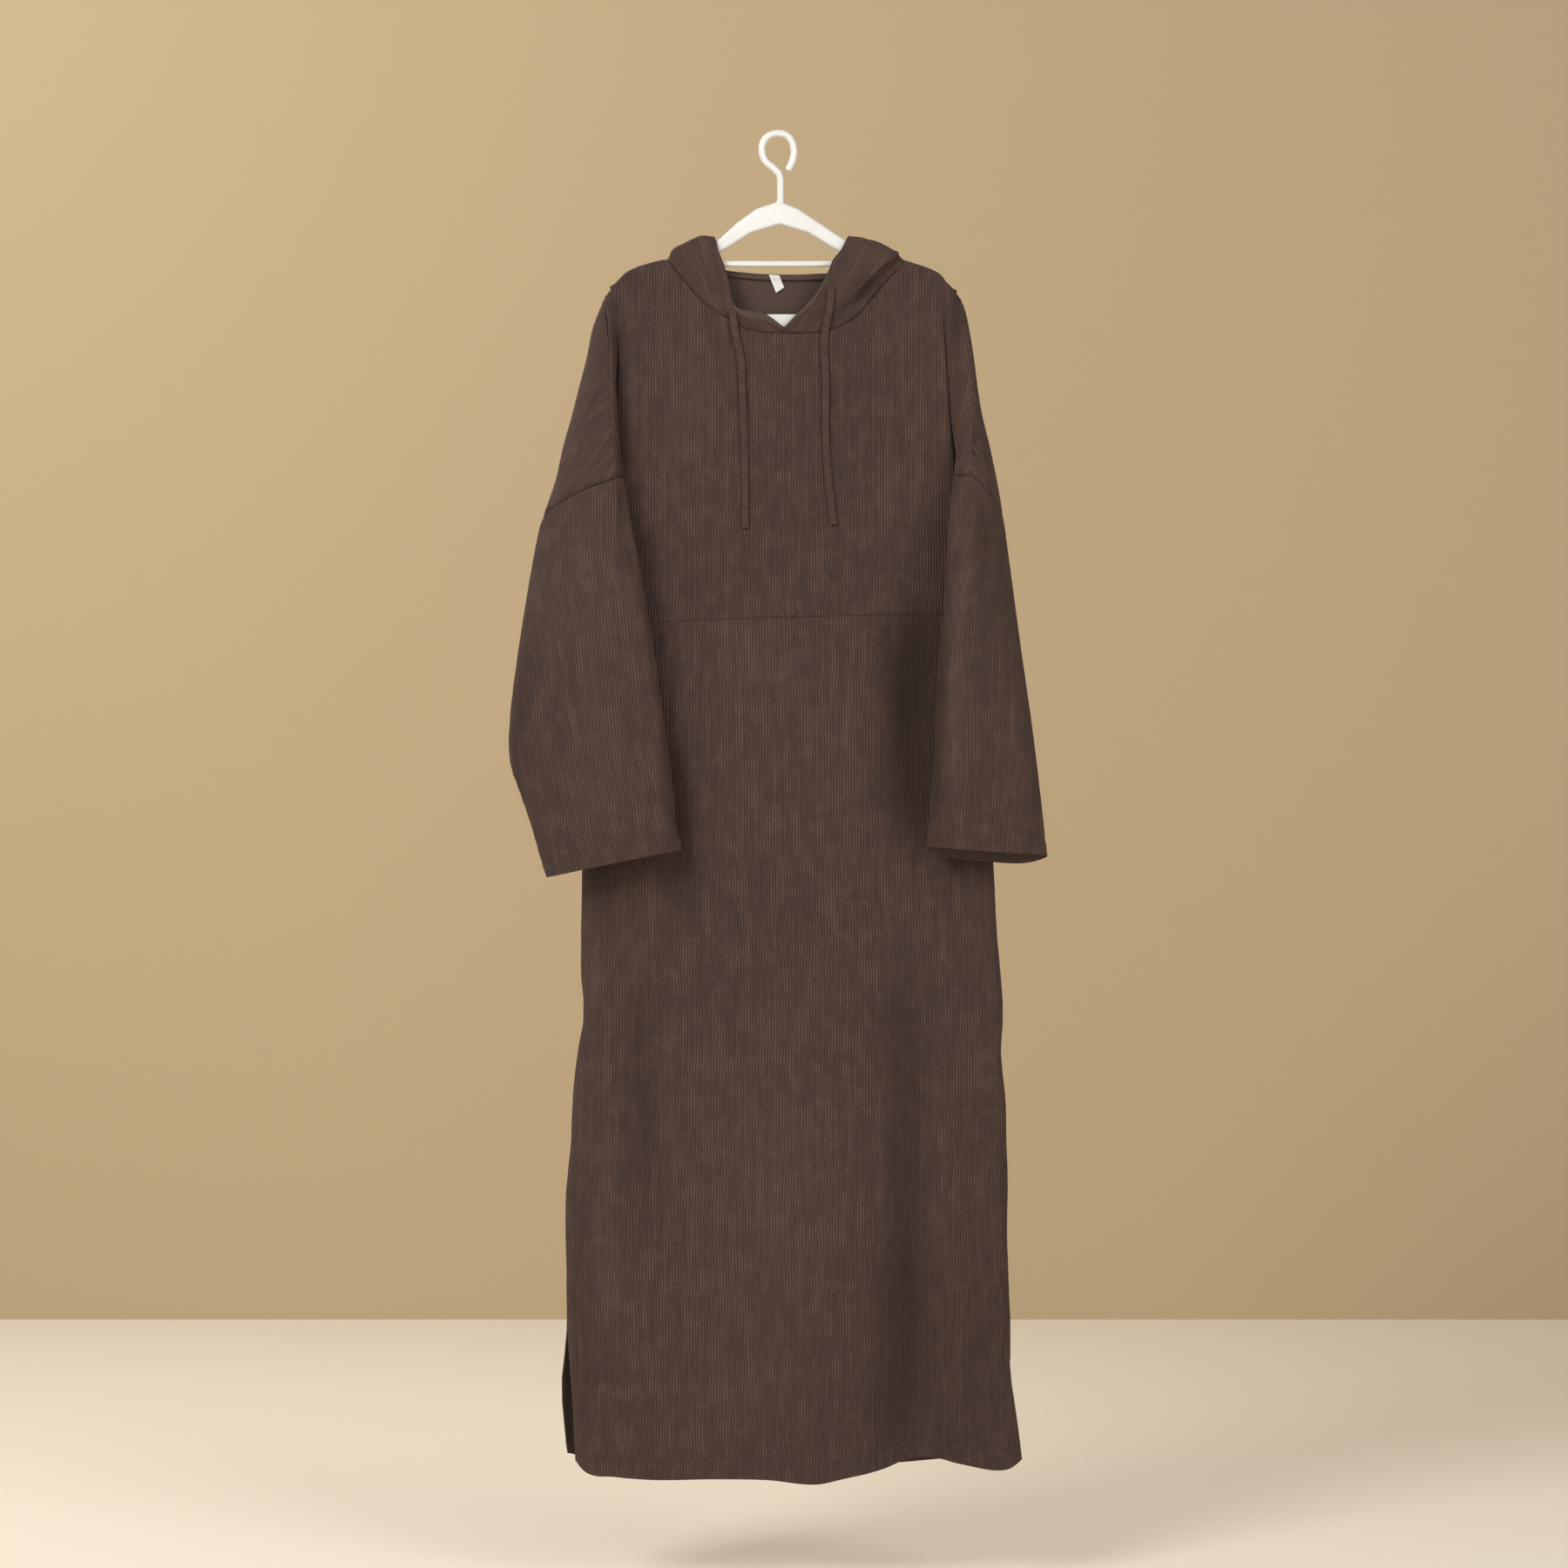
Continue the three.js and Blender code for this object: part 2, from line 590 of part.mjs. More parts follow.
// Cuff of each sleeve: height at both sides, drop of its back edge, depth, and fullness of the arm above it
const cuffs = {
  left: { inner: -818, outer: -849, backDrop: 4, middle: -54, halfDepth: 19, fuller: 0 },
  right: { inner: -814, outer: -825, backDrop: -12, middle: -57, halfDepth: 22, fuller: 14 },
};
const sleeveHalfDepth = 26;
const sleeveSettles = 62;
const outerSettles = 300;
const armpitClearance = 4;

function sleevePoint(side, ring, share) {
  const arm = armSides[side];
  const cuff = cuffs[side];
  const seamHeight = sleeveSeamHeight(side, ring.name) - sleeveGap;
  const cuffHeight = mix(cuff.inner, cuff.outer, ring.along) + cuff.backDrop * Math.max(0, ring.depth);
  const z = mix(seamHeight, cuffHeight, share);
  const start = armPoint(side, ring.name, seamHeight);
  const armpitStep = ring.name === "armpit" ? arm.sign * armpitClearance : 0;
  const fall = seamHeight - z;
  const fold = read(arm.table, "z", "fold", z);
  const edge = read(arm.table, "z", "edge", z);
  const forward = ease(0, mix(sleeveSettles, outerSettles, ease(0.4, 0.9, ring.along)), fall);
  const inward = ease(35, 150, fall);
  const follow = ring.name === "fold" || ring.name === "edge" ? 1 : inward;
  const x = mix(start.x + armpitStep, mix(fold, edge, ring.along), follow);
  const fuller = cuff.fuller * Math.sin(Math.PI * share);
  const halfDepth = mix(sleeveHalfDepth, cuff.halfDepth, share) + fuller;
  const y = mix(start.y, cuff.middle - fuller + halfDepth * ring.depth, forward);
  return new THREE.Vector3(x, y, z);
}

function sleeve(side) {
  const shares = [0, 0.02, 0.05, 0.09, 0.14, 0.2, 0.28, 0.38, 0.5, 0.62, 0.74, 0.84, 0.92, 1];
  const order = side === "left" ? [...sleeveRing].reverse() : sleeveRing;
  const perSpan = 2;
  const grid = shares.map((share) => {
    const stations = order.map((ring) => sleevePoint(side, ring, share));
    const curve = new THREE.CatmullRomCurve3(stations, true, "centripetal");
    const total = stations.length * perSpan;
    return Array.from({ length: total }, (_, k) => curve.getPoint(k / total));
  });
  return piece(`sleeve_${side}`, wall(grid, { closed: true }), corduroy);
}

// Hood half: key lines from the neck seam to the opening edge, from the front point to the back seam
const hoodLeft = [
  { seam: [3.9, -12.6, -226], low: [3.9, -13, -224.6], turn: [3.9, -13.5, -223.3],
    high: [3.9, -14, -222], edge: [3.9, -14.5, -220.5] },
  { seam: [-20, -13.8, -225], low: [-20, -15, -219.8], turn: [-20, -16, -214.5],
    high: [-20, -16.6, -209], edge: [-20, -17, -203.8] },
  { seam: [-44, -13.8, -219.3], low: [-43, -15, -214.5], turn: [-42, -16, -210],
    high: [-41, -16.8, -205.5], edge: [-40, -17, -201] },
  { seam: [-64, -13.4, -206.8], low: [-61, -14.6, -204], turn: [-58.5, -15.6, -201],
    high: [-56, -16.4, -198], edge: [-53, -17, -195] },
  { seam: [-88, -13, -191.2], low: [-81, -14.8, -185], turn: [-74, -16, -179.5],
    high: [-67, -16.8, -174], edge: [-60, -17, -168] },
  { seam: [-111, -11.4, -165], low: [-101, -13.6, -161], turn: [-90, -15, -157.5],
    high: [-77, -15.6, -154.5], edge: [-64, -15.5, -151] },
  { seam: [-125.6, -10, -147], low: [-116, -11.4, -140.5], turn: [-103, -12.8, -136],
    high: [-88, -13, -132], edge: [-71, -12.6, -132] },
  { seam: [-129.4, -1.5, -138.2], low: [-122, -5.2, -128.5], turn: [-108, -6.6, -122],
    high: [-92, -6.8, -115.5], edge: [-75.5, -7, -116] },
  { seam: [-122.5, 9.8, -142], low: [-128, 11, -141], turn: [-123, 15.5, -136],
    high: [-104, 17, -122], edge: [-80, 13, -115.5] },
  { seam: [-100, 14.6, -149.5], low: [-119, 20, -166], turn: [-124, 30, -190],
    high: [-108, 35, -150], edge: [-84, 27, -121] },
  { seam: [-68, 18, -154.5], low: [-98, 25, -228], turn: [-106, 36, -300],
    high: [-90, 47, -228], edge: [-62, 42, -160] },
  { seam: [-34, 18.5, -158.5], low: [-56, 27, -270], turn: [-66, 39, -388],
    high: [-52, 53, -280], edge: [-32, 51, -174] },
  { seam: [-0.2, 18.5, -160], low: [-0.2, 28, -292], turn: [-0.2, 40, -432],
    high: [-0.2, 57, -302], edge: [-0.2, 53, -178] },
];
const hoodRight = [
  { seam: [4.3, -12.6, -226], low: [4.3, -13.2, -224.6], turn: [4.3, -13.8, -223.3],
    high: [4.3, -14.4, -222], edge: [4.3, -15, -220.5] },
  { seam: [26, -13.8, -226], low: [25, -15, -220.5], turn: [23, -16.4, -215],
    high: [21, -17.4, -210], edge: [19, -18, -205] },
  { seam: [48, -13.8, -223.8], low: [46, -15.4, -215], turn: [43, -17.2, -206],
    high: [40, -18.6, -197], edge: [36, -19.4, -188] },
  { seam: [69.5, -13.6, -216.8], low: [65, -15.8, -205], turn: [62, -18.8, -196],
    high: [57, -20.6, -182], edge: [49, -20.5, -168] },
  { seam: [85.4, -13.4, -207.8], low: [78, -15, -193], turn: [80, -24, -188],
    high: [70, -25.2, -170], edge: [56, -21.5, -153.5] },
  { seam: [104.4, -12.6, -186.2], low: [95, -14.5, -170], turn: [100.5, -26, -168],
    high: [84, -26.5, -151], edge: [60, -20, -143] },
  { seam: [122.2, -11.2, -164], low: [112, -12.6, -148.5], turn: [119.5, -24, -149],
    high: [100, -23.6, -134], edge: [69, -14, -131.5] },
  { seam: [137.4, -10, -147.5], low: [124, -10.5, -137], turn: [129.5, -19, -141.5],
    high: [108, -18.5, -127], edge: [74, -11, -122] },
  { seam: [140.4, -1.5, -139.6], low: [130, -6, -132], turn: [135, -13.5, -136],
    high: [112, -12.5, -122.5], edge: [77.6, -7, -114.8] },
  { seam: [131, 9.5, -144], low: [139, 11, -143], turn: [133, 15.5, -137],
    high: [108, 17, -122], edge: [81, 13, -115.5] },
  { seam: [109, 14.6, -150.5], low: [125, 20, -168], turn: [128, 30, -192],
    high: [111, 35, -151], edge: [85, 27, -121] },
  { seam: [72, 18, -156.5], low: [99, 25, -230], turn: [108, 36, -302],
    high: [92, 47, -230], edge: [63, 42, -160] },
  { seam: [36, 18.5, -159.5], low: [57, 27, -271], turn: [67, 39, -389],
    high: [53, 53, -281], edge: [33, 51, -174] },
  { seam: [0.2, 18.5, -160], low: [0.2, 28, -292], turn: [0.2, 40, -432],
    high: [0.2, 57, -302], edge: [0.2, 53, -178] },
];

function hoodHalf(name, table, turned) {
  const lines = ["seam", "low", "turn", "high", "edge"];
  const across = table.slice(1).map(() => 2);
  const along = [3, 4, 4, 3];
  const rows = lines.map((line) => {
    const keys = table.map((row) => new THREE.Vector3(...row[line]));
    return spread(keys, across);
  });
  const columns = rows[0].map((_, k) => spread(rows.map((row) => row[k]), along));
  const grid = columns[0].map((_, k) => columns.map((column) => column[k]));
  if (turned) grid.reverse();
  const lastColumn = grid[0].length - 1;
  const facing = (row, column, normal) => {
    if (column > 0 && column < lastColumn) return normal;
    return new THREE.Vector3(0, normal.y, normal.z);
  };
  return piece(name, wall(grid, { facing }), corduroy);
}

// Drawstring: a flat strip hanging from its hole in the hood's casing to a bare cut end
const drawstringRoutes = {
  left: [
    [-56, -19.5, -201],
    [-54, -19.4, -212],
    [-51.5, -17.8, -229],
    [-48.5, -17.2, -241],
    [-46, -17.2, -252],
    [-44.6, -17.5, -270],
    [-44, -17.9, -291],
    [-43, -18.3, -311],
    [-42, -18.6, -331],
    [-41.3, -19, -357],
    [-41, -19.4, -384],
    [-40.6, -19.9, -410],
    [-40.4, -20.3, -432],
    [-40.2, -20.6, -450],
  ],
  right: [
    [59.6, -25, -170],
    [58.2, -24.7, -178],
    [56.8, -22.4, -191],
    [55, -19.8, -203],
    [53, -18.4, -214],
    [50.8, -17.1, -228],
    [50, -17.2, -241],
    [50.8, -17.5, -259],
    [51.6, -17.8, -277],
    [51.8, -18.3, -304],
    [51.6, -18.7, -331],
    [52.4, -19.2, -357],
    [54, -19.6, -384],
    [57, -20.1, -413],
    [60.8, -20.7, -446],
  ],
};

function drawstring(side) {
  const route = drawstringRoutes[side].map((place) => new THREE.Vector3(...place));
  const path = new THREE.CatmullRomCurve3(route, false, "centripetal");
  const section = new THREE.Shape();
  const sides = 8;
  for (let k = 0; k < sides; k += 1) {
    const angle = ((k + 0.5) / sides) * 2 * Math.PI;
    const x = (cordDepth / 2) * Math.cos(angle);
    const y = (cordWidth / 2) * Math.sin(angle);
    if (k === 0) section.moveTo(x, y);
    else section.lineTo(x, y);
  }
  section.closePath();
  const geometry = new THREE.ExtrudeGeometry(section, { steps: 26, extrudePath: path });
  return piece(`drawstring_${side}`, geometry, cordCloth);
}

// Small bare neck label hanging inside the back neck seam
function neckLabel() {
  const corners = [
    [-13, -161.5],
    [-1.5, -162.5],
    [4.4, -172],
    [-5.2, -178],
  ];
  const [topLeft, topRight, lowRight, lowLeft] = corners.map(([x, z]) => {
    const back = chestPoint("back", { x, z, onShoulder: 0, across: 0.5 }, { drop: 0, off: 1 });
    return new THREE.Vector3(x, back.y - cloth - labelGap, z);
  });
  const grid = [[topLeft, topRight], [lowLeft, lowRight]];
  return piece("neck_label", wall(grid, { thickness: labelThickness }), labelCloth);
}

// Hanger: moulded arms, cross bar, lower bar and hook in one piece
const armOutline = [
  [-1.5, -74], [-28, -83], [-49, -98], [-68, -115.5], [-82, -125], [-131, -144.4], [-149, -147.6],
  [-166, -152.8], [-178, -159.4], [-188, -168.5], [-193, -178], [-191.5, -196], [-186, -218], [-176, -218],
  [-179, -196],
  [-171, -182], [-131, -164], [-90, -145], [-62, -129], [-34, -111], [-1, -101], [32, -111], [65, -131],
  [94, -146], [136, -166], [178, -188], [186, -200], [184, -218], [194, -218], [199.5, -198], [200, -186],
  [192, -171.5], [183, -161], [173, -154.8], [158, -149.2], [142, -145.6], [86, -124.5], [70, -116], [39, -95],
  [21, -83],
];

const hookRoute = [
  [0, -84],
  [0, -60],
  [-1, -44],
  [-8, -36],
  [-17.5, -28],
  [-21.5, -14],
  [-16.5, -1],
  [-3.5, 4.3],
  [9, 0.5],
  [15.2, -12],
  [14.6, -26],
  [8.5, -39],
];

function manifoldFrom(wasm, geometry) {
  const bare = geometry.clone();
  for (const name of Object.keys(bare.attributes)) {
    if (name !== "position") bare.deleteAttribute(name);
  }
  const merged = BufferGeometryUtils.mergeVertices(bare, 1e-4);
  const mesh = new wasm.Mesh({
    numProp: 3,
    vertProperties: new Float32Array(merged.attributes.position.array),
    triVerts: new Uint32Array(merged.index.array),
  });
  return new wasm.Manifold(mesh);
}

function geometryFrom(solid) {
  const mesh = solid.getMesh();
  const geometry = new THREE.BufferGeometry();
  geometry.setAttribute("position", new THREE.BufferAttribute(new Float32Array(mesh.vertProperties), 3));
  geometry.setIndex([...mesh.triVerts]);
  geometry.computeVertexNormals();
  return geometry;
}

function bar(width, height, depth, x, z) {
  const geometry = new THREE.BoxGeometry(width, depth, height);
  geometry.translate(x, 0, z);
  return geometry;
}

async function hanger() {
  const wasm = await Module();
  wasm.setup();
  const outline = new THREE.Shape(armOutline.map(([x, z]) => new THREE.Vector2(x, z)));
  const arms = new THREE.ExtrudeGeometry(outline, {
    depth: hangerDepth - 2 * hangerBevel,
    bevelThickness: hangerBevel,
    bevelSize: hangerBevel,
    bevelOffset: -hangerBevel,
    bevelSegments: 2,
  });
  arms.rotateX(Math.PI / 2);
  arms.translate(0, hangerDepth / 2 - hangerBevel, 0);
  const hookPoints = hookRoute.map(([x, z]) => new THREE.Vector3(x, 0, z));
  const path = new THREE.CatmullRomCurve3(hookPoints, false, "centripetal");
  const section = new THREE.Shape();
  section.absarc(0, 0, hookWidth / 2, 0, 2 * Math.PI, false);
  const hook = new THREE.ExtrudeGeometry(section, { steps: 36, curveSegments: 5, extrudePath: path });
  const parts = [
    arms,
    hook,
    bar(186, 6.6, 7, -1.5, -146),
    bar(372, 15, 8, 4, -211.5),
  ];
  const solid = wasm.Manifold.union(parts.map((part) => manifoldFrom(wasm, part)));
  return piece("hanger", geometryFrom(solid), whitePlastic);
}

const abaya = new THREE.Group();
abaya.name = "hooded_abaya_on_hanger";
abaya.add(await hanger());
abaya.add(frontBodice());
abaya.add(frontSkirt());
abaya.add(backPanel());
abaya.add(sleeve("left"));
abaya.add(sleeve("right"));
abaya.add(hoodHalf("hood_left", hoodLeft, false));
abaya.add(hoodHalf("hood_right", hoodRight, true));
abaya.add(drawstring("left"));
abaya.add(drawstring("right"));
abaya.add(neckLabel());

export default abaya;
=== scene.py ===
import math
import bpy
import numpy as np
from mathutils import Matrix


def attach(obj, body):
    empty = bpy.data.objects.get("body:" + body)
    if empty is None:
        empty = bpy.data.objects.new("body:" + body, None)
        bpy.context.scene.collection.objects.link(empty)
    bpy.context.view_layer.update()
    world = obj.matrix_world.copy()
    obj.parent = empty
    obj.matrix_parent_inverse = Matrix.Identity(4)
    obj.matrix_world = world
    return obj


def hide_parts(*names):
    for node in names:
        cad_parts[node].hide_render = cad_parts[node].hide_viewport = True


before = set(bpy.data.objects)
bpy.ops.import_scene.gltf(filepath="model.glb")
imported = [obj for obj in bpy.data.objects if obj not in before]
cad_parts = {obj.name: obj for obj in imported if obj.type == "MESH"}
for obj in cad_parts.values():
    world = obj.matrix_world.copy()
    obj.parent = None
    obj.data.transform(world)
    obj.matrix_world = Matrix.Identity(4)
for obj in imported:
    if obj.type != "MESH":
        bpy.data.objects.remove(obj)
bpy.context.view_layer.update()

bpy.ops.object.select_all(action="DESELECT")
mm = 0.001

camera = {"distance": 6.0, "across": 0.004, "height": -0.743, "fieldWidth": 1.8}
room = {
    "floor": -1.66, "wall": 2.95, "front": -8, "halfWidth": 6, "top": 5,
    "floorColour": (0.9, 0.82, 0.68), "wallColour": (0.5, 0.38, 0.228),
}
lights = {
    "key": {"place": (-2.6, -4.4, 1.9), "aim": (0, 0, -0.6), "size": 2.2, "power": 185},
    "fill": {"place": (2.9, -4.2, 1.1), "aim": (0, 0, -0.7), "size": 2.6, "power": 100},
    "low": {"place": (0.2, -4.8, -1.0), "aim": (0, 0, -1.0), "size": 2.4, "power": 22},
    "back": {"place": (-2.6, 1.4, 1.6), "aim": (0, 0, -0.6), "size": 2.0, "power": 70},
}

# camera and light

def aimAt(thing, place, aim):
    from mathutils import Vector
    thing.location = place
    thing.rotation_euler = (Vector(aim) - Vector(place)).to_track_quat("-Z", "Y").to_euler()


def makeCamera():
    data = bpy.data.cameras.new("camera")
    data.sensor_width = 36
    data.lens = 36 * camera["distance"] / camera["fieldWidth"]
    data.clip_end = 60
    view = bpy.data.objects.new("camera", data)
    bpy.context.collection.objects.link(view)
    place = (camera["across"], -camera["distance"], camera["height"])
    aimAt(view, place, (camera["across"], 0, camera["height"]))
    bpy.context.scene.camera = view


def makeLights():
    for name, light in lights.items():
        data = bpy.data.lights.new(name, "AREA")
        data.shape = "DISK"
        data.size = light["size"]
        data.energy = light["power"]
        lamp = bpy.data.objects.new(name, data)
        bpy.context.collection.objects.link(lamp)
        aimAt(lamp, light["place"], light["aim"])
    world = bpy.data.worlds.new("studio")
    world.use_nodes = True
    world.node_tree.nodes["Background"].inputs["Color"].default_value = (1.0, 0.96, 0.9, 1)
    world.node_tree.nodes["Background"].inputs["Strength"].default_value = 0.3
    bpy.context.scene.world = world
    bpy.context.scene.view_settings.view_transform = "Standard"  # plain colours, as the photo's


makeCamera()
makeLights()
print("camera and light made")

# shader nodes written as sums

class Wire:
    def __init__(self, tree, socket):
        self.tree = tree
        self.socket = socket

    def node(self, kind, settings=None, inputs=None, output=0):
        made = self.tree.nodes.new(kind)
        for name, value in (settings or {}).items():
            setattr(made, name, value)
        for name, value in (inputs or {}).items():
            if isinstance(value, Wire):
                self.tree.links.new(value.socket, made.inputs[name])
            else:
                made.inputs[name].default_value = value
        return Wire(self.tree, made.outputs[output])

    def maths(self, operation, other=0.0):
        return self.node("ShaderNodeMath", {"operation": operation}, {0: self, 1: other})

    def __add__(self, other):
        return self.maths("ADD", other)

    def __mul__(self, other):
        return self.maths("MULTIPLY", other)


def startMaterial(name, constants):
    material = bpy.data.materials.new(name)
    material.use_nodes = True
    shader = material.node_tree.nodes["Principled BSDF"]
    for socket, value in constants.items():
        shader.inputs[socket].default_value = value
    return material, shader, Wire(material.node_tree, None)


def feed(shader, name, wire):
    wire.tree.links.new(wire.socket, shader.inputs[name])


def feedBump(shader, height, strength, distance):
    inputs = {"Height": height, "Strength": strength, "Distance": distance}
    feed(shader, "Normal", height.node("ShaderNodeBump", None, inputs))


def objectPlace(start):
    return start.node("ShaderNodeTexCoord", None, None, 3)


def grainPlace(start):
    return start.node("ShaderNodeUVMap", {"uv_map": "grain"})


def stretched(place, *scale):
    return place.node("ShaderNodeMapping", None, {"Vector": place, "Scale": scale})


def clothNoise(place, scale, detail=3.0, roughness=0.55):
    inputs = {"Vector": place, "Scale": scale, "Detail": detail, "Roughness": roughness}
    return place.node("ShaderNodeTexNoise", None, inputs)


def spreadOut(wire, low, high):
    return wire.node("ShaderNodeMapRange", None, {"Value": wire, "From Min": low, "From Max": high})


def mixColour(amount, first, second):
    first, second = (colour if isinstance(colour, Wire) else (*colour, 1) for colour in (first, second))
    return amount.node("ShaderNodeMix", {"data_type": "RGBA"}, {0: amount, 6: first, 7: second}, 2)


# each layer: pattern, where it begins and is full, how strong it is, and its tone
def layered(colour, tones, layers):
    for pattern, low, high, amount, tone in layers:
        colour = mixColour(spreadOut(pattern, low, high) * amount, colour, tones[tone])
    return colour


corduroyLook = {
    "pitch": 0.00341,  # metres from rib to rib
    "constants": {"Roughness": 0.9, "Sheen Weight": 0.07, "Sheen Roughness": 0.5,
                  "Sheen Tint": (0.75, 0.6, 0.52, 1), "Specular IOR Level": 0.18},
    "tones": {
        # the darkest tone is painted shade, for the grooves between ribs and the darker nap places; the
        # lightest tone is lighter worn pile at random and also painted highlight on the lighter nap places
        "ridge": (0.077, 0.0445, 0.033), "paintedShade": (0.024, 0.0138, 0.0112), "wornAndHighlight": (0.122, 0.075, 0.058),
        "shade": (0.05, 0.0295, 0.0272), "cool": (0.048, 0.029, 0.0305),
    },
}


def makeCorduroy(name, tint=1.0):
    tones = {key: tuple(c * tint for c in tone) for key, tone in corduroyLook["tones"].items()}
    material, shader, start = startMaterial(name, corduroyLook["constants"])
    place, solidPlace = grainPlace(start), objectPlace(start)
    # reads the painted shade and highlight, with some brushed-pile variation, from a point attribute
    paintedLightAndNap = start.node("ShaderNodeAttribute", {"attribute_name": "paintedLightAndNap"}, None, 2)
    across = place.node("ShaderNodeSeparateXYZ", None, {0: place})
    phase = across * (2 * math.pi / corduroyLook["pitch"])
    rib = (phase.maths("COSINE") * 0.5 + 0.5).maths("POWER", 0.55)
    streak = clothNoise(stretched(place, 300.0, 34.0, 1.0), 1.0, 4.0, 0.6)
    mottle = clothNoise(stretched(place, 62.0, 40.0, 1.0), 1.0, 5.0, 0.66)
    band = clothNoise(stretched(place, 130.0, 11.0, 1.0), 1.0, 4.0, 0.6)
    cloud = clothNoise(solidPlace, 7.0)
    fibre = clothNoise(solidPlace, 1100.0, 2.0, 0.6)
    pile = layered(mixColour(spreadOut(cloud, 0.34, 0.68), tones["shade"], tones["ridge"]), tones, (
        (band, 0.50, 0.34, 0.8, "shade"), (band, 0.50, 0.68, 0.6, "wornAndHighlight"),
        (mottle, 0.50, 0.68, 0.65, "wornAndHighlight"), (mottle, 0.50, 0.30, 0.9, "cool"),
        (streak, 0.35, 0.75, 0.4, "wornAndHighlight"),
    ))
    # grooves between ribs get the darkest tone as painted shade; the nap attribute adds painted shade in the
    # darkest tone and painted highlight in the lightest
    colour = layered(mixColour(rib * 0.82 + 0.08, tones["paintedShade"], pile), tones, (
        (fibre, 0.45, 0.75, 0.3, "wornAndHighlight"), (paintedLightAndNap, 0.0, -1.0, 0.85, "paintedShade"), (paintedLightAndNap, 0.0, 1.0, 0.45, "wornAndHighlight"),
    ))
    feed(shader, "Base Color", colour)
    feedBump(shader, rib * 0.5 + fibre * 0.5 + streak * 0.35, 0.5, 0.0006)
    feed(shader, "Roughness", mottle * 0.12 + 0.82)
    return material


def makeClothBack(name, dark, light, yarn):
    constants = {"Roughness": 0.92, "Sheen Weight": 0.05, "Specular IOR Level": 0.18}
    material, shader, start = startMaterial(name, constants)
    twill = stretched(grainPlace(start), 900.0, 900.0, 1.0)
    inputs = {"Vector": twill, "Scale": 0.35}
    weave = start.node("ShaderNodeTexWave", {"bands_direction": "DIAGONAL"}, inputs, 1)
    cloud = clothNoise(objectPlace(start), 22.0)
    base = mixColour(spreadOut(cloud, 0.3, 0.7), dark, light)
    feed(shader, "Base Color", mixColour(weave * 0.3, base, yarn))
    feedBump(shader, weave, 0.25, 0.0003)
    return material


def makePlastic(name):
    constants = {"Roughness": 0.3, "Specular IOR Level": 0.5, "Coat Weight": 0.15, "Coat Roughness": 0.2}
    material, shader, start = startMaterial(name, constants)
    solidPlace = objectPlace(start)
    cloud = clothNoise(solidPlace, 18.0, 2.0)
    colour = mixColour(spreadOut(cloud, 0.3, 0.7), (0.67, 0.67, 0.65), (0.73, 0.73, 0.71))
    feed(shader, "Base Color", colour)
    feed(shader, "Roughness", cloud * 0.16 + 0.24)
    feedBump(shader, clothNoise(solidPlace, 1400.0, 2.0), 0.12, 0.0002)
    return material


def makeLabelCloth(name):
    constants = {"Roughness": 0.5, "Sheen Weight": 0.2, "Specular IOR Level": 0.4}
    material, shader, start = startMaterial(name, constants)
    weave = clothNoise(stretched(objectPlace(start), 700.0, 700.0, 3400.0), 1.0, 1.0)
    feed(shader, "Base Color", mixColour(weave, (0.66, 0.65, 0.64), (0.76, 0.75, 0.74)))
    feedBump(shader, weave, 0.3, 0.0002)
    return material


def makeThread(name):
    material, shader, start = startMaterial(name, {"Roughness": 0.7, "Sheen Weight": 0.3})
    twist = clothNoise(objectPlace(start), 1500.0, 2.0)
    feed(shader, "Base Color", mixColour(twist, (0.018, 0.011, 0.009), (0.038, 0.023, 0.018)))
    feedBump(shader, twist, 0.4, 0.0002)
    return material


corduroy = makeCorduroy("corduroy")
cordCloth = makeCorduroy("corduroy_strip", tint=1.06)
clothBack = makeClothBack("corduroy_back", (0.066, 0.042, 0.034), (0.078, 0.05, 0.041), (0.1, 0.066, 0.055))
casingCloth = makeClothBack("casing_cloth", (0.062, 0.043, 0.03), (0.078, 0.055, 0.039), (0.098, 0.07, 0.051))
plastic = makePlastic("white_plastic")
labelCloth = makeLabelCloth("satin_label")
thread = makeThread("sewing_thread")
print("materials made")

# drawstrings: flat strips of the same cloth, turned a little as they hang; route points in metres
cordLook = {
    "width": 0.0086, "thickness": 0.0036, "rib": 0.00022, "slant": 0.9, "around": 24, "step": 0.0007,
    "sunk": 0.004, "emerge": 0.009,  # it comes out of the casing from this deep, over this length
}
cordRoutes = {
    "left": {
        "length": 0.2513,
        "turns": ((0, -0.2), (0.12, 0.35), (0.3, -0.25), (0.55, 0.35), (0.8, -0.2), (1, 0.15)),
        "points": [
            (-0.056, -0.0195, -0.201), (-0.054, -0.0194, -0.212), (-0.0515, -0.0178, -0.229),
            (-0.0485, -0.0172, -0.241), (-0.046, -0.0172, -0.252), (-0.0446, -0.0175, -0.27),
            (-0.044, -0.0179, -0.291), (-0.043, -0.0183, -0.311), (-0.042, -0.0186, -0.331),
            (-0.0413, -0.019, -0.357), (-0.041, -0.0194, -0.384), (-0.0406, -0.0199, -0.41),
            (-0.0404, -0.0203, -0.432), (-0.0402, -0.0206, -0.45),
        ],
    },
    "right": {
        "length": 0.2788,
        "turns": ((0, 0.25), (0.1, -0.2), (0.28, 0.3), (0.5, -0.3), (0.72, 0.25), (1, -0.1)),
        "points": [
            (0.0596, -0.025, -0.17), (0.0582, -0.0247, -0.178), (0.0568, -0.0224, -0.191),
            (0.055, -0.0198, -0.203), (0.053, -0.0184, -0.214), (0.0508, -0.0171, -0.228),
            (0.05, -0.0172, -0.241), (0.0508, -0.0175, -0.259), (0.0516, -0.0178, -0.277),
            (0.0518, -0.0183, -0.304), (0.0516, -0.0187, -0.331), (0.0524, -0.0192, -0.357),
            (0.054, -0.0196, -0.384), (0.057, -0.0201, -0.413), (0.0608, -0.0207, -0.446),
        ],
    },
}


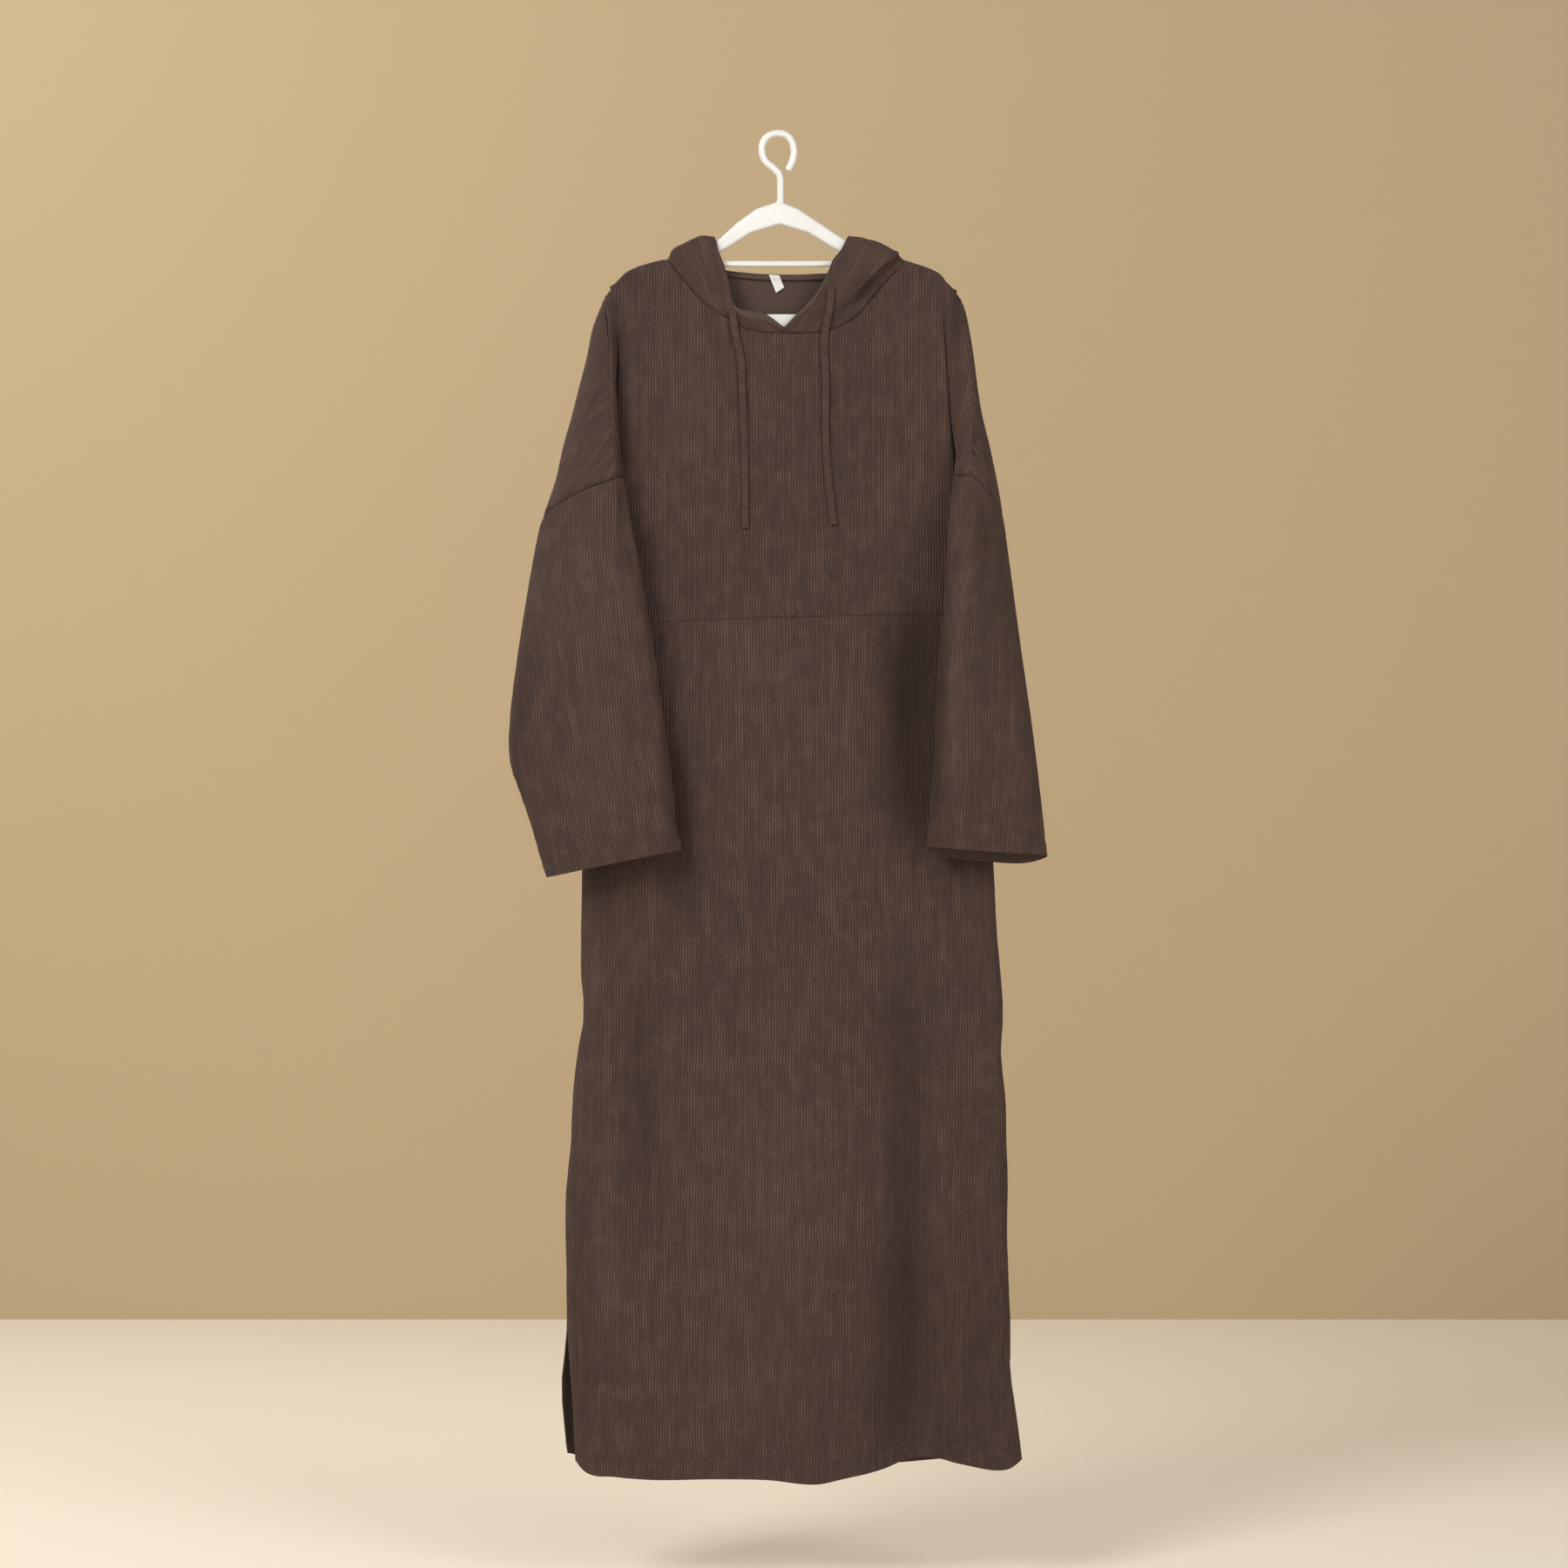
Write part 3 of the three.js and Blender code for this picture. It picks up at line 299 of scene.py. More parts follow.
def smoothThrough(stations, steps, closed=False):
    points = np.array(stations, float)
    count = len(points)
    if closed:
        chain = np.vstack([points[-1], points, points[0], points[1]])
        spans = count
    else:
        chain = np.vstack([2 * points[0] - points[1], points, 2 * points[-1] - points[-2]])
        spans = count - 1
    t = (np.arange(steps) / steps)[:, None]
    made = []
    for k in range(spans):
        p0, p1, p2, p3 = chain[k:k + 4]
        d0, d1, d2 = (max(np.linalg.norm(b - a), 1e-6) ** 0.5 for a, b in ((p0, p1), (p1, p2), (p2, p3)))
        m1 = ((p1 - p0) / d0 - (p2 - p0) / (d0 + d1) + (p2 - p1) / d1) * d1
        m2 = ((p2 - p1) / d1 - (p3 - p1) / (d1 + d2) + (p3 - p2) / d2) * d1
        start = p1 * (1 + 2 * t) * (1 - t) ** 2 + m1 * t * (1 - t) ** 2
        made.append(start + p2 * t * t * (3 - 2 * t) - m2 * t * t * (1 - t))
    made.append(points[:1] if closed else points[-1:])
    return np.vstack(made)


def grainDistance(section, flatOnly=True):
    step = np.diff(section, axis=0)
    length = np.hypot(step[:, 0], step[:, 1]) if flatOnly else np.linalg.norm(step, axis=1)
    return np.concatenate([[0], np.cumsum(length)])


def pointAt(at, travelled, line):
    return np.stack([np.interp(at, travelled, line[:, axis]) for axis in range(3)], axis=-1)


def chooseAlone(thing):
    bpy.ops.object.select_all(action="DESELECT")
    thing.select_set(True)
    bpy.context.view_layer.objects.active = thing


def turnOutward(thing, mergeWithin=None):
    chooseAlone(thing)
    bpy.ops.object.mode_set(mode="EDIT")
    bpy.ops.mesh.select_all(action="SELECT")
    if mergeWithin:
        bpy.ops.mesh.remove_doubles(threshold=mergeWithin)
    bpy.ops.mesh.normals_make_consistent(inside=False)
    bpy.ops.object.mode_set(mode="OBJECT")
    thing.select_set(False)


def countTriangles(thing):
    return sum(len(face.vertices) - 2 for face in thing.data.polygons)


def meshObject(name, points, faces, materials, grain=None):
    mesh = bpy.data.meshes.new(name)
    corners = [tuple(map(int, face)) for face in faces]
    mesh.from_pydata([tuple(map(float, point)) for point in points], [], corners)
    if grain is not None:
        layer = mesh.uv_layers.new(name="grain")
        corner = np.zeros(len(mesh.loops), np.int32)
        mesh.loops.foreach_get("vertex_index", corner)
        layer.data.foreach_set("uv", np.asarray(grain, float)[corner].reshape(-1))
    for material in materials:
        mesh.materials.append(material)
    made = bpy.data.objects.new(name, mesh)
    bpy.context.collection.objects.link(made)
    chooseAlone(made)
    bpy.ops.object.shade_smooth()
    made.select_set(False)
    return made


def makeDrawstring(side):
    route = cordRoutes[side]
    curve = smoothThrough(route["points"], 40)
    travelled = grainDistance(curve, flatOnly=False)
    rings = int(travelled[-1] / cordLook["step"])
    at = np.linspace(0, travelled[-1], rings)
    centres = pointAt(at, travelled, curve)
    centres[:, 1] += cordLook["sunk"] * (1 - np.clip(at / cordLook["emerge"], 0, 1)) ** 2
    tangents = np.gradient(centres, axis=0)
    tangents /= np.linalg.norm(tangents, axis=1, keepdims=True)
    facing = np.tile(np.array([0.0, -1.0, 0.0]), (rings, 1))
    sideways = np.cross(tangents, facing)
    sideways /= np.linalg.norm(sideways, axis=1, keepdims=True)
    outward = np.cross(sideways, tangents)
    places, turns = zip(*route["turns"])
    turn = np.interp(at / travelled[-1], places, turns)
    turn = np.convolve(np.pad(turn, 20, mode="edge"), np.ones(41) / 41, mode="valid")
    angle = np.linspace(0, 2 * math.pi, cordLook["around"], endpoint=False)
    flat = np.sign(np.cos(angle)) * np.abs(np.cos(angle)) ** 0.8 * cordLook["width"] / 2
    deep = np.sign(np.sin(angle)) * np.abs(np.sin(angle)) ** 0.7 * cordLook["thickness"] / 2
    slanted = at[:, None] + flat[None, :] * cordLook["slant"]
    rib = np.cos(slanted * 2 * math.pi / corduroyLook["pitch"])
    swell = 1 + cordLook["rib"] * rib / (cordLook["thickness"] / 2)
    across = flat[None, :] * (1 + (swell - 1) * 0.4)
    proud = deep[None, :] * swell
    cos, sin = np.cos(turn)[:, None], np.sin(turn)[:, None]
    offSide = (across * cos - proud * sin)[..., None] * sideways[:, None, :]
    offFront = (across * sin + proud * cos)[..., None] * outward[:, None, :]
    points = centres[:, None, :] + offSide + offFront
    number = np.arange(rings * len(angle)).reshape(rings, len(angle))
    right = np.roll(number, -1, axis=1)
    faces = np.stack([number[:-1], right[:-1], right[1:], number[1:]], axis=-1).reshape(-1, 4).tolist()
    faces.append(number[0][::-1].tolist())
    faces.append(number[-1].tolist())
    grain = np.stack([at[:, None] + across * cordLook["slant"], across], axis=-1).reshape(-1, 2)
    cord = meshObject(f"drawstring_{side}_strip", points.reshape(-1, 3), faces, [cordCloth], grain)
    turnOutward(cord)
    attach(cord, "root")
    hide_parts(f"drawstring_{side}")
    print(f"drawstring {side}: {travelled[-1]:.4f} m")


for side in ("left", "right"):
    makeDrawstring(side)

# sizes of the garment, in millimetres, as in the frame's solids

def table(names, rows):
    return {name: np.array(column, float) for name, column in zip(names.split(), zip(*rows))}


leftArm = table("z edge seam fold", [
    (-174, -196, -195.5, -189), (-182, -201, -198, -190), (-197, -207, -201, -191),
    (-221, -216, -198, -191), (-252, -222, -197, -190), (-287, -231, -195.6, -188),
    (-321, -239.5, -193, -186), (-355, -249, -190, -183), (-395, -258, -187, -178),
    (-449, -276, -184, -169), (-495, -285, -184, -160), (-544, -293, -184, -152),
    (-602, -301, -184, -143), (-663, -308, -184, -134), (-703, -309.4, -184, -128),
    (-724, -307, -184, -125), (-755, -296, -184, -121.5), (-786, -285.5, -184, -119),
    (-818, -276, -184, -112.6), (-850, -266, -184, -108),
])
rightArm = table("z edge seam fold", [
    (-174, 201, 200.5, 194), (-182, 205, 204, 194.5), (-197, 211, 209, 195.5), (-221, 216, 214, 199),
    (-252, 221, 218, 204.5), (-287, 225.5, 219, 204.5), (-321, 231, 220, 203), (-355, 239.5, 219, 202),
    (-395, 248, 218, 197), (-449, 257, 217, 191), (-495, 263, 217, 188), (-544, 269, 217, 185),
    (-602, 276, 217, 180), (-663, 284, 217, 176), (-724, 291.5, 217, 174), (-786, 299, 217, 168.5),
    (-835, 304, 217, 164),
])
bodySides = table("z left right leftBack rightBack", [
    (-455, -205, 212, -205, 212), (-505, -207.5, 214.5, -207.5, 214.5), (-580, -214, 225, -214, 225),
    (-700, -221, 236, -221, 236), (-841, -228, 245, -228, 245), (-906, -229, 248, -229, 248),
    (-964, -229, 253, -229, 253), (-1008, -226, 256, -226, 256), (-1051, -233, 253, -233, 253),
    (-1100, -238.5, 258, -238.5, 258), (-1158, -241, 260, -241, 260), (-1206, -246, 261, -246, 261),
    (-1255, -247, 260, -247, 260), (-1308, -246, 262, -246, 262), (-1366, -245, 264, -245.5, 264),
    (-1400, -243, 263, -248.5, 264), (-1434, -240.5, 266, -252, 262), (-1473, -237.5, 271.5, -250, 262),
    (-1545, -235, 281, -241, 266),
])
frontHem = table("x z", [
    (-236, -1517), (-222, -1530), (-190, -1534), (-146, -1537), (-74, -1536), (-15, -1537), (40, -1542),
    (70, -1536), (120, -1524), (150, -1512), (173, -1510), (207, -1519), (260, -1526), (278, -1517),
])
backHem = table("x z", [
    (-245, -1512), (-225, -1522), (-100, -1529), (60, -1530), (150, -1526), (205, -1521), (262, -1516),
])
bodyDepth = table("z front back", [
    (-140, 10.5, 9), (-150, 12, 11.8), (-161, 12.6, 15.8), (-250, 14.5, 17.5), (-455, 18, 20),
    (-561, 20, 23), (-841, 24, 29), (-1200, 32, 38), (-1545, 40, 48),
])
sideRound = table("across share", [(0, 0), (0.008, 0.34), (0.03, 0.62), (0.08, 0.82), (0.2, 0.95), (0.5, 1)])
folds = {
    "front": [(146, 26, -560, -830, 7), (133, 22, -1180, -1600, 8), (-162, 26, -940, -1320, 6),
              (160, 24, -1380, -1620, -8)],
    "back": [(-90, 40, -900, -1600, 8), (110, 36, -1000, -1600, 9), (20, 36, -600, -1300, 5)],
}
frontTop = table("x z onShoulder across", [
    (-184, -162, 1, 0), (-178, -156.5, 1, 0.03), (-166, -150, 1, 0.07), (-149, -144.5, 1, 0.12),
    (-131, -141, 1, 0.17), (-127, -147.5, 0, 0.185), (-111, -166.5, 0, 0.22), (-88, -192.5, 0, 0.28),
    (-64, -208, 0, 0.34), (-44, -220.5, 0, 0.39), (-20, -226, 0, 0.45), (4, -227, 0, 0.5),
    (27, -227, 0, 0.555), (49, -225, 0, 0.605), (70, -218, 0, 0.655), (86, -209, 0, 0.695),
    (105, -187.5, 0, 0.745), (123, -165.5, 0.1, 0.795), (138.5, -148, 0.35, 0.83),
    (142, -142.5, 0.8, 0.845), (158, -146.5, 1, 0.89), (173, -152, 1, 0.935), (183, -158, 1, 0.97),
    (189, -163, 1, 1),
])
backTop = table("x z onShoulder across", [
    (189, -163, 1, 1), (183, -158, 1, 0.97), (173, -152, 1, 0.935), (158, -146.5, 1, 0.89),
    (142, -142.5, 1, 0.845), (138, -144, 0, 0.835), (124, -148.5, 0, 0.795), (96, -154, 0, 0.73),
    (50, -158.5, 0, 0.62), (0, -159.5, 0, 0.5), (-48, -156.5, 0, 0.38), (-88, -152, 0, 0.28),
    (-114, -147, 0, 0.21), (-127.5, -142.6, 0, 0.18), (-131, -141, 1, 0.17), (-149, -144.5, 1, 0.12),
    (-166, -150, 1, 0.07), (-178, -156.5, 1, 0.03), (-184, -162, 1, 0),
])
rowOff = table("drop off", [(0, 0), (0.004, 0.62), (0.012, 0.9), (0.025, 1), (0.09, 1), (1, 1)])
build = {
    "cloth": 1.2, "seamGap": 0.4, "armSeamGap": 0.7, "sleeveGap": 1.0, "overHanger": 8.9,
    "armpitHeight": -455, "waistLeft": -561, "waistRight": -549, "waistBow": 3, "slitTop": -1376,
    "tipRound": 0.03, "frontCentre": 4, "shoulderTop": -172, "armpitAcross": 187, "sleeveLength": 440,
    "mergeWithin": 0.00004,  # metres
}
# how deep each seam lies, as a share of the seam's own depth
seamShare = {"waist": 0.5, "shoulder": 0.6, "arm": 0.65, "hood": 0.9}
# how far forward or back the cloth lies where it closes over the shoulder's tip
tipStations = {"seam": -6, "frontEdge": -4, "edge": 0, "backEdge": 6}


def readTable(rows, source, name, at):
    places, values = rows[source], rows[name]
    if places[-1] < places[0]:
        places, values = places[::-1], values[::-1]
    at = np.clip(np.asarray(at, float), places[0], places[-1])
    slopes = np.diff(values) / np.diff(places)
    tangents = np.concatenate([slopes[:1], (slopes[1:] + slopes[:-1]) / 2, slopes[-1:]])
    k = np.clip(np.searchsorted(places, at) - 1, 0, len(places) - 2)
    span = places[k + 1] - places[k]
    t = (at - places[k]) / span
    first = values[k] * (1 + 2 * t) * (1 - t) ** 2 + tangents[k] * span * t * (1 - t) ** 2
    return first + values[k + 1] * t * t * (3 - 2 * t) - tangents[k + 1] * span * t * t * (1 - t)


def mix(a, b, t):
    return a + (b - a) * t


def ease(low, high, at):
    t = np.clip((np.asarray(at, float) - low) / (high - low), 0, 1)
    return t * t * (3 - 2 * t)


def foldSink(panel, x, z):
    sink = 0
    for place, width, top, bottom, depth in folds[panel]:
        sideways = np.exp(-(((x - place) / width) ** 2))
        sink = sink + depth * sideways * ease(top, (top + bottom) / 2, z) * ease(bottom, bottom + 90, z)
    return sink


# small creases that only the cloth itself shows: start, end, width and depth, all in millimetres
creases = {
    "front": [
        ((126, -552), (125, -594), 5, 3.2), ((133, -558), (150, -700), 14, 3.0),
        ((114, -600), (118, -800), 16, 2.4), ((-228, -1006), (-196, -1054), 8, -3.0),
        ((-222, -1024), (-186, -1068), 9, 2.6), ((245, -1262), (262, -1270), 8, 2.5),
        ((-150, -620), (-128, -840), 22, 3.2), ((60, -980), (72, -1330), 30, 2.2),
        ((-60, -900), (-52, -1280), 34, -2.0), ((-40, -1150), (-30, -1520), 28, 2.2),
        ((100, -1330), (86, -1530), 18, -3), ((-205, -1300), (-214, -1500), 14, 3.0),
        ((205, -1080), (214, -1420), 18, 3.2), ((20, -300), (12, -520), 34, -1.6),
        ((-120, -260), (-140, -430), 20, 1.8), ((130, -235), (160, -420), 18, 2.0),
        ((90, -222), (128, -300), 9, 1.6), ((-86, -210), (-110, -300), 10, 1.4),
        ((176, -300), (168, -520), 12, 3.0), ((-160, -330), (-166, -520), 12, 2.6),
    ],
    "back": [
        ((-150, -480), (-120, -760), 20, 4.0), ((150, -480), (128, -800), 22, 4.0),
        ((60, -560), (48, -980), 26, 2.6), ((-40, -640), (-58, -1080), 30, -2.6),
        ((170, -1100), (190, -1500), 20, 3.6), ((-180, -1060), (-196, -1480), 20, 3.4),
        ((10, -1200), (4, -1525), 30, -3.4), ((-205, -900), (-160, -960), 9, 2.6),
        ((210, -960), (176, -1020), 9, 2.6),
    ],
}


# a long dip between two points, which fades out over the share of its reach at each end
def creaseDip(x, z, start, end, width, fadeShare):
    (x0, z0), (x1, z1) = start, end
    reach = math.hypot(x1 - x0, z1 - z0)
    along = ((x - x0) * (x1 - x0) + (z - z0) * (z1 - z0)) / reach
    off = ((x - x0) * (z1 - z0) - (z - z0) * (x1 - x0)) / reach
    fade = ease(-width, fadeShare * reach, along) * (1 - ease((1 - fadeShare) * reach, reach + width, along))
    return fade * np.exp(-((off / width) ** 2))


def creaseSink(panel, x, z):
    return sum(depth * creaseDip(x, z, start, end, width, 0.35)
               for start, end, width, depth in creases[panel])


def waistHeight(across):
    bow = build["waistBow"] * np.sin(np.asarray(across) * np.pi)
    return mix(build["waistLeft"], build["waistRight"], across) + bow


# painted shade and painted highlight beside sleeves, folds and creases, with some brushed-pile variation:
# darker and lighter places, as x, z, half width, half height and amount
paintedLightAndNapPlaces = {
    "front": [
        (146, -672, 30, 130, -0.9), (150, -600, 20, 70, -0.3), (143, -1190, 24, 230, -0.66),
        (-160, -1105, 20, 140, -0.42), (-116, -800, 26, 110, -0.55), (10, -1250, 90, 220, 0.16),
        (-30, -660, 80, 110, 0.1), (-200, -1240, 26, 150, 0.22), (128, -1450, 20, 70, -0.3),
        (210, -1150, 22, 200, -0.12), (0, -480, 110, 60, -0.08), (-120, -330, 40, 90, 0.12),
        (80, -340, 60, 70, -0.12), (-40, -1450, 120, 60, 0.1), (100, -1010, 50, 60, -0.16),
        (-181, -310, 5, 95, -0.75), (-193, -330, 5, 100, 0.3), (201, -205, 5, 42, -0.5),
        (208, -330, 5, 80, 0.25), (-205, -760, 20, 130, -0.35), (-196, -880, 34, 40, -0.3),
        (196, -800, 24, 110, -0.35), (150, -1400, 60, 140, -0.4), (230, -1400, 24, 130, -0.25),
        (-226, -1380, 14, 150, -0.25),
    ],
    "sleeve_left": [
        (-124, -660, 10, 210, -0.6), (-150, -470, 20, 60, -0.25), (-205, -640, 30, 150, 0.12),
        (-296, -620, 12, 170, -0.3),
    ],
    "sleeve_right": [
        (178, -640, 9, 200, -0.6), (206, -470, 8, 80, 0.4), (198, -640, 8, 110, 0.35),
        (228, -620, 12, 160, -0.25), (262, -600, 20, 150, 0.15), (288, -720, 12, 110, -0.3),
    ],
    "hood_left": [(-112, -152, 10, 16, -0.25), (-60, -212, 40, 6, -0.3), (-90, -140, 16, 14, 0.2)],
    "hood_right": [(104, -176, 14, 14, -0.45), (70, -206, 26, 8, -0.4), (92, -132, 20, 10, 0.2)],
    "back": [
        (-150, -660, 26, 140, -0.4), (150, -660, 26, 140, -0.4), (110, -1250, 26, 220, -0.4),
        (-100, -1200, 28, 220, -0.35), (10, -900, 80, 260, 0.15), (0, -300, 90, 100, 0.12),
        (190, -1250, 26, 160, 0.2),
    ],
}


# sums the painted shade and highlight places into one amount at each point
def paintedLightAndNapAt(panel, x, z):
    amount = np.zeros(np.broadcast(x, z).shape)
    for placeX, placeZ, halfWidth, halfHeight, weight in paintedLightAndNapPlaces.get(panel, []):
        sideways = np.exp(-(((x - placeX) / halfWidth) ** 2))
        amount = amount + weight * sideways * np.exp(-((np.abs(z - placeZ) / halfHeight) ** 4))
    return amount


hem = {"height": 18, "edge": 1.5, "double": 0.5, "dip": 0.45, "dipWidth": 2.0}
seam = {"depth": 1.1, "width": 2.4}


def hemRaise(distance):
    fromStitch = distance - hem["height"]
    raised = hem["double"] * (1 - ease(-hem["edge"], hem["edge"], fromStitch))
    return raised - hem["dip"] * np.exp(-((fromStitch / hem["dipWidth"]) ** 2))


def seamSink(distance):
    return seam["depth"] * np.exp(-((np.abs(distance) / seam["width"]) ** 1.3))


def bodyPoints(panel, across, z, creased=True):
    across, z = np.broadcast_arrays(np.asarray(across, float), np.asarray(z, float))
    front = panel == "front"
    left = readTable(bodySides, "z", "left" if front else "leftBack", z)
    right = readTable(bodySides, "z", "right" if front else "rightBack", z)
    x = mix(left, right, across)
    share = readTable(sideRound, "across", "share", np.minimum(across, 1 - across))
    slit = ease(build["slitTop"], build["slitTop"] - 110, z)
    armpit = build["armpitHeight"]
    atSide = build["seamGap"] / 2 + 1.5 * ease(armpit - 40, armpit, z) + 9 * slit
    depth = readTable(bodyDepth, "z", panel, z) - foldSink(panel, x, z) * share
    y = mix(atSide, depth, share)
    if creased:
        y = y - creaseSink(panel, x, z) * share * (1 - ease(armpit - 60, armpit, z))
        low = readTable(frontHem if front else backHem, "x", "z", x)
        y = y + hemRaise(z - low)
        if front:
            y = y - seamShare["waist"] * seamSink(z - waistHeight(across)) * share
    return np.stack([x, -y if front else y, z], axis=-1)


armStations = {
    "armpit": (0, (-184, -162)), "inside": (0.25, (-187, -165)), "fold": (1, (-190, -168)),
    "ridge": (1.02, (-192.5, -170.5)), "seam": (1, (-195, -173.5)), "frontEdge": (0.72, (-194.4, -172.6)),
    "edge": (0.28, (-193, -171)), "backEdge": (0.08, (-191, -169)), "back": (0, (-188, -166)),
    "backInside": (0, (-186, -164)),
}
armSides = {
    "left": {
        "table": leftArm, "sign": -1, "seamTop": -395, "topShiftX": 0, "topShiftZ": 0, "armpitX": -205,
    },
    "right": {
        "table": rightArm, "sign": 1, "seamTop": -393, "topShiftX": 6.5, "topShiftZ": -4.5, "armpitX": 212,
    },
}


def armPoint(side, station, z):
    arm = armSides[side]
    edge, seam, fold = (readTable(arm["table"], "z", name, z) for name in ("edge", "seam", "fold"))
    grown = min(1, max(0, (build["shoulderTop"] - z) / 235)) ** 0.85
    nearArmpit = ease(-230, build["armpitHeight"], z) ** 1.4
    armpitX = mix(arm["sign"] * build["armpitAcross"], arm["armpitX"], nearArmpit)
    closing = ease(-300, build["armpitHeight"], z)
    backDip = mix(9.2, 20, ease(-180, -330, z)) * (1 - ease(-340, build["armpitHeight"], z)) + 1.8
    shapes = {
        "armpit": (armpitX, mix(-9, -1.8, closing)),
        "inside": (mix(armpitX, fold, 0.45), mix(-9.4, -24, grown)),
        "fold": (fold, mix(-9.6, -42, grown)),
        "ridge": (mix(fold, seam, 0.5), mix(-9.9, -58, grown)),
        "seam": (seam, mix(-6, -64, grown)),
        "frontEdge": (mix(seam, edge, 0.6), mix(-4, -54, grown)),
        "edge": (edge, mix(0, -12, grown)),
        "backEdge": (mix(edge, armpitX, 0.26), mix(6, 32, grown)),
        "back": (mix(edge, armpitX, 0.66), mix(9, 39, grown)),
        "backInside": (mix(edge, armpitX, 0.9), mix(9.2, 27, grown)),
        "backArmpit": (armpitX, backDip),
    }
    return np.array([*shapes[station], z])


def sleeveSeamHeight(side, station):
    share = armStations["armpit" if station == "backArmpit" else station][0]
    return mix(build["armpitHeight"], armSides[side]["seamTop"], share)


def shoulderPoint(side, station, drop, off, panelSign):
    arm = armSides[side]
    topX, topZ = armStations["armpit" if station == "backArmpit" else station][1]
    startX = arm["sign"] * (arm["topShiftX"] - topX)
    startZ = topZ + arm["topShiftZ"]
    z = mix(startZ, sleeveSeamHeight(side, station), drop)
    shaped = armPoint(side, station, z)
    settled = ease(0, 0.1, drop)
    settledAcross = ease(0, 0.05, drop) if station in tipStations else settled
    x = shaped[0] + (startX - armPoint(side, station, startZ)[0]) * (1 - settledAcross)
    overTip = tipStations.get(station, panelSign * build["overHanger"])
    beyondTip = min(1, drop / build["tipRound"]) if station in ("seam", "frontEdge") else off
    nearTop = mix(panelSign * build["seamGap"] / 2, overTip, beyondTip)
    return np.array([x, mix(nearTop, shaped[1], settled), z])


def chestPoint(panel, top, drop, off):
    sign = -1 if panel == "front" else 1
    x, z, onShoulder, across = top
    z = mix(z, build["armpitHeight"], drop)
    low = bodyPoints(panel, across, build["armpitHeight"], False)
    x = mix(x, low[0], ease(-0.15, 1, drop))
    free = readTable(bodyDepth, "z", panel, z)
    beside = mix(free, abs(low[1]), ease(0.25, 1, drop))
    held = mix(build["seamGap"] / 2, build["overHanger"], off)
    onArm = mix(held, beside, ease(0, 0.35, drop))
    y = mix(beside, onArm, onShoulder)
    y = y - creaseSink(panel, x, z) * ease(0, 0.2, drop) * (1 - ease(0.85, 1, drop))
    return np.array([x, sign * y, z])


# cloth laid along its grain: every row of points is cut at the same distances from the centre line
ribs = {"pitch": 3.41, "perRib": 4, "perRibBack": 3, "perRibHood": 3.2, "depth": 0.75}


def ribHeight(distance):
    wave = 0.5 + 0.5 * np.cos(2 * np.pi * np.asarray(distance) / ribs["pitch"])
    return wave ** 0.6


def cutAlongGrain(sections, distances, spacing, snaps=None):
    low = min(distance[0] for distance in distances)
    high = max(distance[-1] for distance in distances)
    lines = np.arange(math.floor(low / spacing), math.ceil(high / spacing) + 1) * spacing
    grid = np.zeros((len(sections), len(lines), 3))
    reached = np.zeros((len(sections), len(lines)))
    for row, (section, distance) in enumerate(zip(sections, distances)):
        at = np.clip(lines, distance[0], distance[-1])
        for snap in (snaps or {}).get(row, []):
            at[np.argmin(np.abs(at - snap))] = snap
        grid[row] = pointAt(at, distance, section)
        reached[row] = at
    return grid, reached


def gridFaces(grid, first=0, flip=False):
    rows, columns = grid.shape[:2]
    number = np.arange(rows * columns).reshape(rows, columns) + first
    a, b, c, d = number[:-1, :-1], number[:-1, 1:], number[1:, 1:], number[1:, :-1]
    quads = np.stack([a, d, c, b] if not flip else [a, b, c, d], axis=-1).reshape(-1, 4)
    wideTop = np.linalg.norm(grid[:-1, 1:] - grid[:-1, :-1], axis=-1)
    wideLow = np.linalg.norm(grid[1:, 1:] - grid[1:, :-1], axis=-1)
    return quads[(np.maximum(wideTop, wideLow) > 1e-4).reshape(-1)]


def vertexNormals(points, faces):
    corners = points[faces]
    across = np.cross(corners[:, 2] - corners[:, 0], corners[:, 3] - corners[:, 1])
    normals = np.zeros_like(points)
    for k in range(4):
        np.add.at(normals, faces[:, k], across)
    size = np.linalg.norm(normals, axis=1, keepdims=True)
    return normals / np.maximum(size, 1e-12)


def sharedNormals(points, faces):
    # parts that meet have points in the same place, which have to move the same way
    place, number = np.unique(np.round(points, 3), axis=0, return_inverse=True)
    normals = vertexNormals(points, faces)
    total = np.zeros(place.shape)
    np.add.at(total, number.reshape(-1), normals)
    total /= np.maximum(np.linalg.norm(total, axis=1, keepdims=True), 1e-12)
    return total[number.reshape(-1)]


# one stitch, in millimetres; its stations are place along it, half width and lift off the cloth
stitchLook = {
    "length": 2.5, "gap": 0.8, "thick": 0.24,
    "stations": ((0, 0.1, -0.5), (0.25, 0.26, 0.2), (0.75, 0.26, 0.2), (1, 0.1, -0.5)),
}


